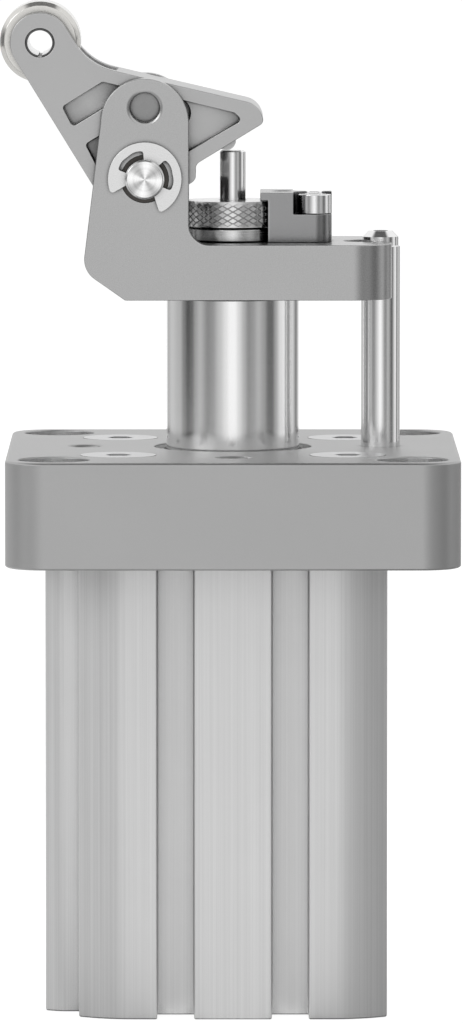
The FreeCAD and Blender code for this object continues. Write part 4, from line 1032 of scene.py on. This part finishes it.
@dataclass
class SettingRing(Assembly):
    """The knurled ring that sets the damping."""

    radius: float = 12.0 * MM
    foot: float = 198.9 * MM
    height: float = 6.5 * MM
    bore: float = 3.6 * MM
    chamfer: float = 0.2 * MM
    groove: float = 0.24 * MM
    flat_share: float = 0.74
    diamonds: int = 28
    rows: int = 8
    band_wall: float = 0.6 * MM
    upright: float = 0.6
    crease: float = 20.0
    merge: float = 0.1 * HAIR

    def build(self) -> Iterable[Mesh]:
        """Turns the ring and cuts its knurl in.

        Returns:
            The ring.
        """
        columns = 2 * self.diamonds
        piece = primitive(
            "knurled_setting_ring", bpy.ops.mesh.primitive_circle_add, vertices=columns,
            radius=self.bore, location=(0, 0, self.foot), fill_type="NOTHING",
        )
        settle(piece)
        band = self.height - 2 * self.chamfer
        steps = [(self.radius - self.chamfer, 0.0), (self.radius, self.chamfer)]
        steps += [(self.radius, band / self.rows)] * self.rows
        steps += [(self.radius - self.chamfer, self.chamfer), (self.bore, 0.0)]
        now, height = self.bore, self.foot
        with editing(piece):
            for radius, rise in steps:
                height += rise
                share = radius / now
                bpy.ops.mesh.extrude_region_move(TRANSFORM_OT_translate={"value": (0, 0, rise)})
                if radius != now:
                    bpy.ops.transform.resize(value=(share, share, 1), center_override=(0, 0, height))
                now = radius
            bpy.ops.mesh.extrude_region_move(TRANSFORM_OT_translate={"value": (0, 0, -self.height)})
        self._cut_knurl(piece, columns)
        tidy_normals(piece, self.merge)
        shade(piece, self.crease)
        yield self.dresser.dress(piece, "setting_ring", Finishes.KNURL)

    def _cut_knurl(self, piece: Mesh, columns: int) -> None:
        """Raises every second point of the band to a peak and cuts the peaks to flat diamonds.

        Args:
            piece: The ring.
            columns: Points round the ring.
        """
        low = self.foot + self.chamfer
        rise = (self.height - 2 * self.chamfer) / self.rows
        valley = self.radius - self.groove
        peak = valley + self.groove / (1 - self.flat_share)
        peaks = []
        for vertex in piece.data.vertices:
            x, y, z = vertex.co
            row = round((z - low) / rise)
            if math.hypot(x, y) < self.radius - HAIR or not 0 <= row <= self.rows:
                continue
            column = round(math.atan2(y, x) / (2 * math.pi) * columns)
            raised = 0 < row < self.rows and (row + column) % 2 == 0
            share = (peak if raised else valley) / self.radius
            vertex.co = (x * share, y * share, z)
            if raised:
                peaks.append(vertex.index)
        inner = self.radius - self.band_wall
        choose(piece, "FACE", [
            face.index for face in piece.data.polygons
            if abs(face.normal.z) < self.upright and face.center.xy.length > inner
        ])
        with editing(piece, everything=False):
            bpy.ops.mesh.quads_convert_to_tris(quad_method="SHORTEST_DIAGONAL")
        choose(piece, "VERT", peaks)
        with editing(piece, everything=False):
            percent = 100 * self.flat_share
            bpy.ops.mesh.bevel(offset_type="PERCENT", offset_pct=percent, affect="VERTICES", segments=1)


@dataclass
class LeverGroup(Assembly):
    """The lever with its axle, clips, pad, pin and roller, and the plunger it leans on."""

    lever_edge: float = 0.22 * MM
    clip_edge: float = 0.12 * MM
    roller_edge: float = 0.15 * MM
    horn_angle: float = math.radians(30.0)
    horn_reach: float = 8.2 * MM
    horn_length: float = 0.5 * MM
    horn_clear: float = 1.15 * MM
    horn_side: float = 0.3 * MM
    horn_round: float = 0.95 * MM
    horn_segments: int = 4
    bore_radius: float = 3.3 * MM
    bore_wall: float = 0.5

    def build(self) -> Iterable[Mesh]:
        """Builds the pieces in order.

        Returns:
            Each piece as it is made.
        """
        dresser = self.dresser
        yield dresser.eased("lever", Finishes.LEVER, self.lever_edge)
        yield dresser.smoothed("pressure_pad", Finishes.LEVER)
        yield dresser.smoothed("plunger", Finishes.PLUNGER)
        yield dresser.eased("lever_axle", Finishes.AXLE, self.clip_edge)
        yield self._clip("axle_clip_front")
        yield self._clip("axle_clip_back")
        yield self._pin()
        yield dresser.eased("roller", Finishes.ROLLER, self.roller_edge)
        yield dresser.smoothed("roller_bush", Finishes.BUSH)

    def _clip(self, node: str) -> Mesh:
        """Makes a clip with the outer corners of its mouth rounded.

        The points next to each corner are drawn into it first, so that the
        rounding has two long sides to run out on.

        Args:
            node: The clip's CAD node.

        Returns:
            The clip.
        """
        piece = cad_copy(node)
        tips = [end.copy() for edge in self._horns(piece) for end in ends_of(piece, edge)]
        for vertex in piece.data.vertices:
            for tip in tips:
                away = vertex.co - tip
                if abs(away.y) < self.horn_side and away.length < self.horn_clear:
                    vertex.co = tip
        tidy_normals(piece)
        choose(piece, "EDGE", [edge.index for edge in self._horns(piece)])
        rounding = {"offset": self.horn_round, "segments": self.horn_segments}
        with editing(piece, everything=False):
            bpy.ops.mesh.bevel(affect="EDGES", clamp_overlap=True, **rounding)
        return self.dresser.dress(ease_edges(piece, self.clip_edge), node, Finishes.CLIP)

    def _horns(self, piece: Mesh) -> list[Edge]:
        """Finds the edges that run through a clip at the tips of its mouth.

        Args:
            piece: The clip.

        Returns:
            The edges.
        """
        found = []
        for edge in sharp_edges(piece, self.horn_angle):
            first, second = ends_of(piece, edge)
            run = second - first
            out = (first - PIVOT).xz.length
            if abs(run.y) > self.horn_length and run.xz.length < HAIR and out > self.horn_reach:
                found.append(edge)
        return found

    def _pin(self) -> Mesh:
        """Makes the dark roller pin with its bright bore.

        Returns:
            The pin.
        """
        piece = self.dresser.eased("roller_pin", Finishes.PIN, self.clip_edge)
        piece.data.materials.append(self.dresser.finishes.material(Finishes.PIN_BORE))
        for face in piece.data.polygons:
            out = (face.center - ROLLER_CENTRE).xz.length
            if out < self.bore_radius and abs(face.normal.y) < self.bore_wall:
                face.material_index = 1
        return piece


# The studio


ROUND_SIDES = 96


def hang(cloth: Mesh) -> Bench:
    """Hides a cloth from all but reflections and starts its material.

    Args:
        cloth: The cloth.

    Returns:
        The bench of its material.
    """
    material, bench, shader = new_material(f"{cloth.name}_cloth")
    bench.tree.nodes.remove(shader)
    cloth.data.materials.append(material)
    for ray in ("camera", "diffuse", "transmission", "volume_scatter", "shadow"):
        setattr(cloth, f"visible_{ray}", False)
    cloth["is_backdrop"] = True
    return bench


def glow(bench: Bench, colour: object, cover: Socket | float) -> None:
    """Makes a cloth glow in a colour, where cover says how much cloth there is."""
    bench.mix(cover, bench.add("BsdfTransparent"), bench.add("Emission", {"Color": colour}))


def round_tone(bench: Bench, parts: Outputs, stops: Stops) -> Socket:
    """Makes a tone that runs with the azimuth.

    Args:
        bench: The cloth's bench.
        parts: The three parts of its place.
        stops: Azimuths in degrees, each with its tone.

    Returns:
        The tone.
    """
    azimuth = bench.sum_up("ARCTAN2", parts["X"], bench.sum_up("MULTIPLY", parts["Y"], -1.0))
    share = bench.sum_up("ADD", bench.sum_up("DIVIDE", azimuth, 2 * math.pi), 0.5)
    ramp = bench.add("ValToRGB", {"Fac": share})
    ramp.color_ramp.interpolation = "EASE"
    points = ramp.color_ramp.elements
    while len(points) < len(stops):
        points.new(0.5)
    for point, (degrees, tone) in zip(points, stops):
        point.position = degrees / 360 + 0.5
        point.color = (*grey(tone), 1)
    return ramp.outputs["Color"]


@dataclass
class Curtain:
    """A round grey curtain that only reflections see, with pale and dark lengths of cloth.

    Each stop is an azimuth in degrees, seen from the object with the camera at 0 and its
    right hand at 90, and the tone of the cloth there.
    """

    radius: float = 1.7
    foot: float = 2 * MM
    head: float = 1.15
    hem: float = 0.1
    fade_start: float = 0.4
    thinning: float = 8.0
    crease: float = 60.0
    stops: Stops = (
        (-180, 1), (-163, 1), (-151, 0.48), (-131, 0.62), (-104, 0.48), (-94, 0.22),
        (-84, 0.06), (-75, 0.12), (-67, 0.36), (-59, 0.5), (-43, 0.25), (-36, 0.3),
        (-22, 0.6), (-12, 0.86), (-4, 1), (3, 1), (11, 0.78), (19, 0.47), (27, 0.26),
        (34, 0.33), (45, 0.52), (55, 0.38), (64, 0.14), (72, 0.13), (80, 0.42), (90, 0.84),
        (100, 0.92), (111, 0.14), (125, 0.75), (142, 0.22), (153, 0.6), (163, 1.0),
    )

    def build(self) -> str:
        """Hangs the curtain, with its foot turned in along the floor and its top thinned out.

        Returns:
            Its name.
        """
        cloth = primitive(
            "grey_curtain", bpy.ops.mesh.primitive_cylinder_add, vertices=ROUND_SIDES,
            radius=self.radius, depth=self.head - self.foot, end_fill_type="NOTHING",
            location=(0, 0, (self.head + self.foot) / 2),
        )
        settle(cloth)
        line = self.foot + 1 * MM
        choose(cloth, "EDGE", [
            edge.index for edge in cloth.data.edges
            if all(end.z < line for end in ends_of(cloth, edge))
        ])
        share = (self.radius - self.hem) / self.radius
        with editing(cloth, everything=False):
            bpy.ops.mesh.extrude_region_move()
            bpy.ops.transform.resize(value=(share, share, 1), center_override=(0, 0, self.foot))
        bench = hang(shade(cloth, self.crease))
        parts = bench.split(bench.place())
        tone = round_tone(bench, parts, self.stops)
        fade = bench.stretch(parts["Z"], (self.fade_start, self.head), (1.0, 0.0), smooth=True)
        dark = bench.sum_up("MULTIPLY", bench.sum_up("SUBTRACT", 1.0, tone), self.thinning)
        glow(bench, tone, bench.sum_up("MULTIPLY", bench.sum_up("MINIMUM", dark, 1.0), fade))
        return cloth.name


@dataclass
class Train:
    """A grey cloth on the floor round the object, which only reflections see."""

    inner: float = 0.04
    outer: float = 1.6
    height: float = 0.08 * MM
    shade: float = 0.8
    shade_end: float = 0.16
    stops: Stops = (
        (-180, 1), (-160, 0.95), (-116, 0.85), (-70, 0.78), (-45, 0.52), (-30, 0.6),
        (-15, 0.88), (-6, 1), (6, 1), (16, 0.84), (30, 0.52), (45, 0.42), (60, 0.38),
        (128, 0.38), (150, 0.65), (168, 1.0),
    )

    def build(self) -> str:
        """Lays the cloth, with a painted contact shadow that darkens it near the object.

        Returns:
            Its name.
        """
        cloth = primitive(
            "grey_train", bpy.ops.mesh.primitive_circle_add, vertices=ROUND_SIDES,
            radius=self.inner, fill_type="NOTHING", location=(0, 0, self.height),
        )
        settle(cloth)
        share = self.outer / self.inner
        with editing(cloth):
            bpy.ops.mesh.extrude_region_move()
            bpy.ops.transform.resize(value=(share, share, 1), center_override=(0, 0, self.height))
        bench = hang(cloth)
        place = bench.place()
        tone = round_tone(bench, bench.split(place), self.stops)
        reach = bench.add("VectorMath", {0: place}, operation="LENGTH").outputs["Value"]
        # A painted contact shadow: the cloth darkens near the object.
        fade = bench.stretch(reach, (self.inner, self.shade_end), (self.shade, 1.0), smooth=True)
        glow(bench, bench.sum_up("MULTIPLY", tone, fade), 1.0)
        return cloth.name


@dataclass
class Canopy:
    """A dark cloth overhead that only reflections see, between the two upper lights."""

    centre: Place = (0.0, 0.35, 1.9)
    half_width: float = 0.95
    half_depth: float = 1.3
    tone: float = 0.12
    fade_start: float = 0.6

    def build(self) -> str:
        """Hangs the cloth, which thins out towards its four sides.

        Returns:
            Its name.
        """
        sheet = {"size": 2, "location": self.centre}
        cloth = primitive("dark_canopy", bpy.ops.mesh.primitive_plane_add, **sheet)
        cloth.scale = (self.half_width, self.half_depth, 1)
        bench = hang(cloth)
        parts = bench.split(bench.place())
        side = bench.sum_up("MAXIMUM", *(bench.sum_up("ABSOLUTE", parts[axis]) for axis in range(2)))
        cover = bench.stretch(side, (self.fade_start, 1.0), (1.0, 0.0), smooth=True)
        glow(bench, (*grey(self.tone), 1), cover)
        return cloth.name


@dataclass
class Studio:
    """The floor, the world, the lamps, the cloths and the camera."""

    camera_place: Place = (-0.003785, -2.56225, 0.3395)
    camera_heading: Place = (13.5, 10020.0, -836.8)
    lens: float = 353.5
    sensor: float = 36.0
    clip: Span = (0.1, 100.0)
    floor_side: float = 16.0
    floor_height: float = -0.2 * MM
    floor_tone: float = 0.86
    floor_roughness: float = 0.9
    floor_specular: float = 0.1
    floor_glow: float = 1.25
    floor_glow_share: float = 0.72
    room_light: float = 0.5
    soft_boxes: tuple[tuple[str, Place, float, bool], ...] = (
        ("soft_box_top", (0.1, -0.2, 2.2), 28.0, False),
        ("soft_box_front", (-2.1, -1.6, 1.4), 21.0, True),
    )
    box_side: float = 2.0
    box_aim: Place = (0, 0, 0.13)

    def build(self) -> list[str]:
        """Sets up the stage.

        Returns:
            The names of what was set up.
        """
        self._floor()
        self._world()
        self._lamps()
        self._camera()
        cloths = [cloth.build() for cloth in (Curtain(), Train(), Canopy())]
        return ["floor", "world", "lamps", "camera", *cloths]

    @staticmethod
    def _seen_rays(bench: Bench) -> Socket:
        """Tells rays that look at the stage from rays that light the object.

        Args:
            bench: The node tree to add to.

        Returns:
            1 for camera, glossy and transmission rays, else 0.
        """
        path = bench.add("LightPath").outputs
        seen = bench.sum_up("MAXIMUM", path["Is Camera Ray"], path["Is Glossy Ray"])
        return bench.sum_up("MAXIMUM", seen, path["Is Transmission Ray"])

    def _floor(self) -> None:
        """Lays a pale floor that keeps the object's shadow."""
        sheet = {"size": self.floor_side, "location": (0, 0, self.floor_height)}
        floor = primitive("floor", bpy.ops.mesh.primitive_plane_add, **sheet)
        material, bench, shader = new_material("pale_floor")
        bench.feed(shader, {
            "Base Color": (*grey(self.floor_tone), 1),
            "Roughness": self.floor_roughness,
            "Specular IOR Level": self.floor_specular,
        })
        share = bench.sum_up("MULTIPLY", self._seen_rays(bench), self.floor_glow_share)
        bench.mix(share, shader, bench.add("Emission", {"Strength": self.floor_glow}))
        floor.data.materials.append(material)
        floor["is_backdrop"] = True

    def _world(self) -> None:
        """Makes the white room."""
        world = bpy.data.worlds.new("white_room")
        bpy.context.scene.world = world
        world.use_nodes = True
        bench = Bench(world.node_tree)
        lift = bench.sum_up("MULTIPLY", self._seen_rays(bench), 1.0 - self.room_light)
        strength = bench.sum_up("ADD", lift, self.room_light)
        bench.feed(world.node_tree.nodes["Background"], {"Color": (1, 1, 1, 1), "Strength": strength})

    def _lamps(self) -> None:
        """Hangs the soft boxes, of which only the front one shows in reflections."""
        for name, place, power, mirrored in self.soft_boxes:
            lamp = bpy.data.lights.new(name, "AREA")
            lamp.size = self.box_side
            lamp.energy = power
            stand = put_in(name, lamp)
            stand.location = place
            heading = Vector(self.box_aim) - Vector(place)
            stand.rotation_euler = heading.to_track_quat("-Z", "Y").to_euler()
            stand.visible_glossy = mirrored

    def _camera(self) -> None:
        """Sets the camera at the photograph's angle."""
        eye = bpy.data.cameras.new("photo_camera")
        eye.sensor_width = self.sensor
        eye.sensor_fit = "AUTO"
        eye.lens = self.lens
        eye.clip_start, eye.clip_end = self.clip
        camera = put_in("photo_camera", eye)
        camera.location = self.camera_place
        camera.rotation_euler = Vector(self.camera_heading).to_track_quat("-Z", "Y").to_euler()
        bpy.context.scene.camera = camera


def write_sizes() -> None:
    boxes = {"cad": CAD_BOX, "visual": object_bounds()}
    rows = {name: [list(corner) for corner in box] for name, box in boxes.items()}


def main() -> None:
    """Builds the stage and each sub-assembly in order."""
    logging.basicConfig(level=logging.INFO, format="%(name)s %(message)s")
    bpy.context.scene.view_settings.view_transform = "Standard"
    LOG.info("stage: %s", ", ".join(Studio().build()))
    dresser = Dresser(Finishes())
    for kind in (Housing, Ram, SettingRing, LeverGroup):
        for piece in kind(dresser).build():
            LOG.info("%s: %s", kind.__name__, piece.name)
    write_sizes()


if __name__ == "__main__":
    main()
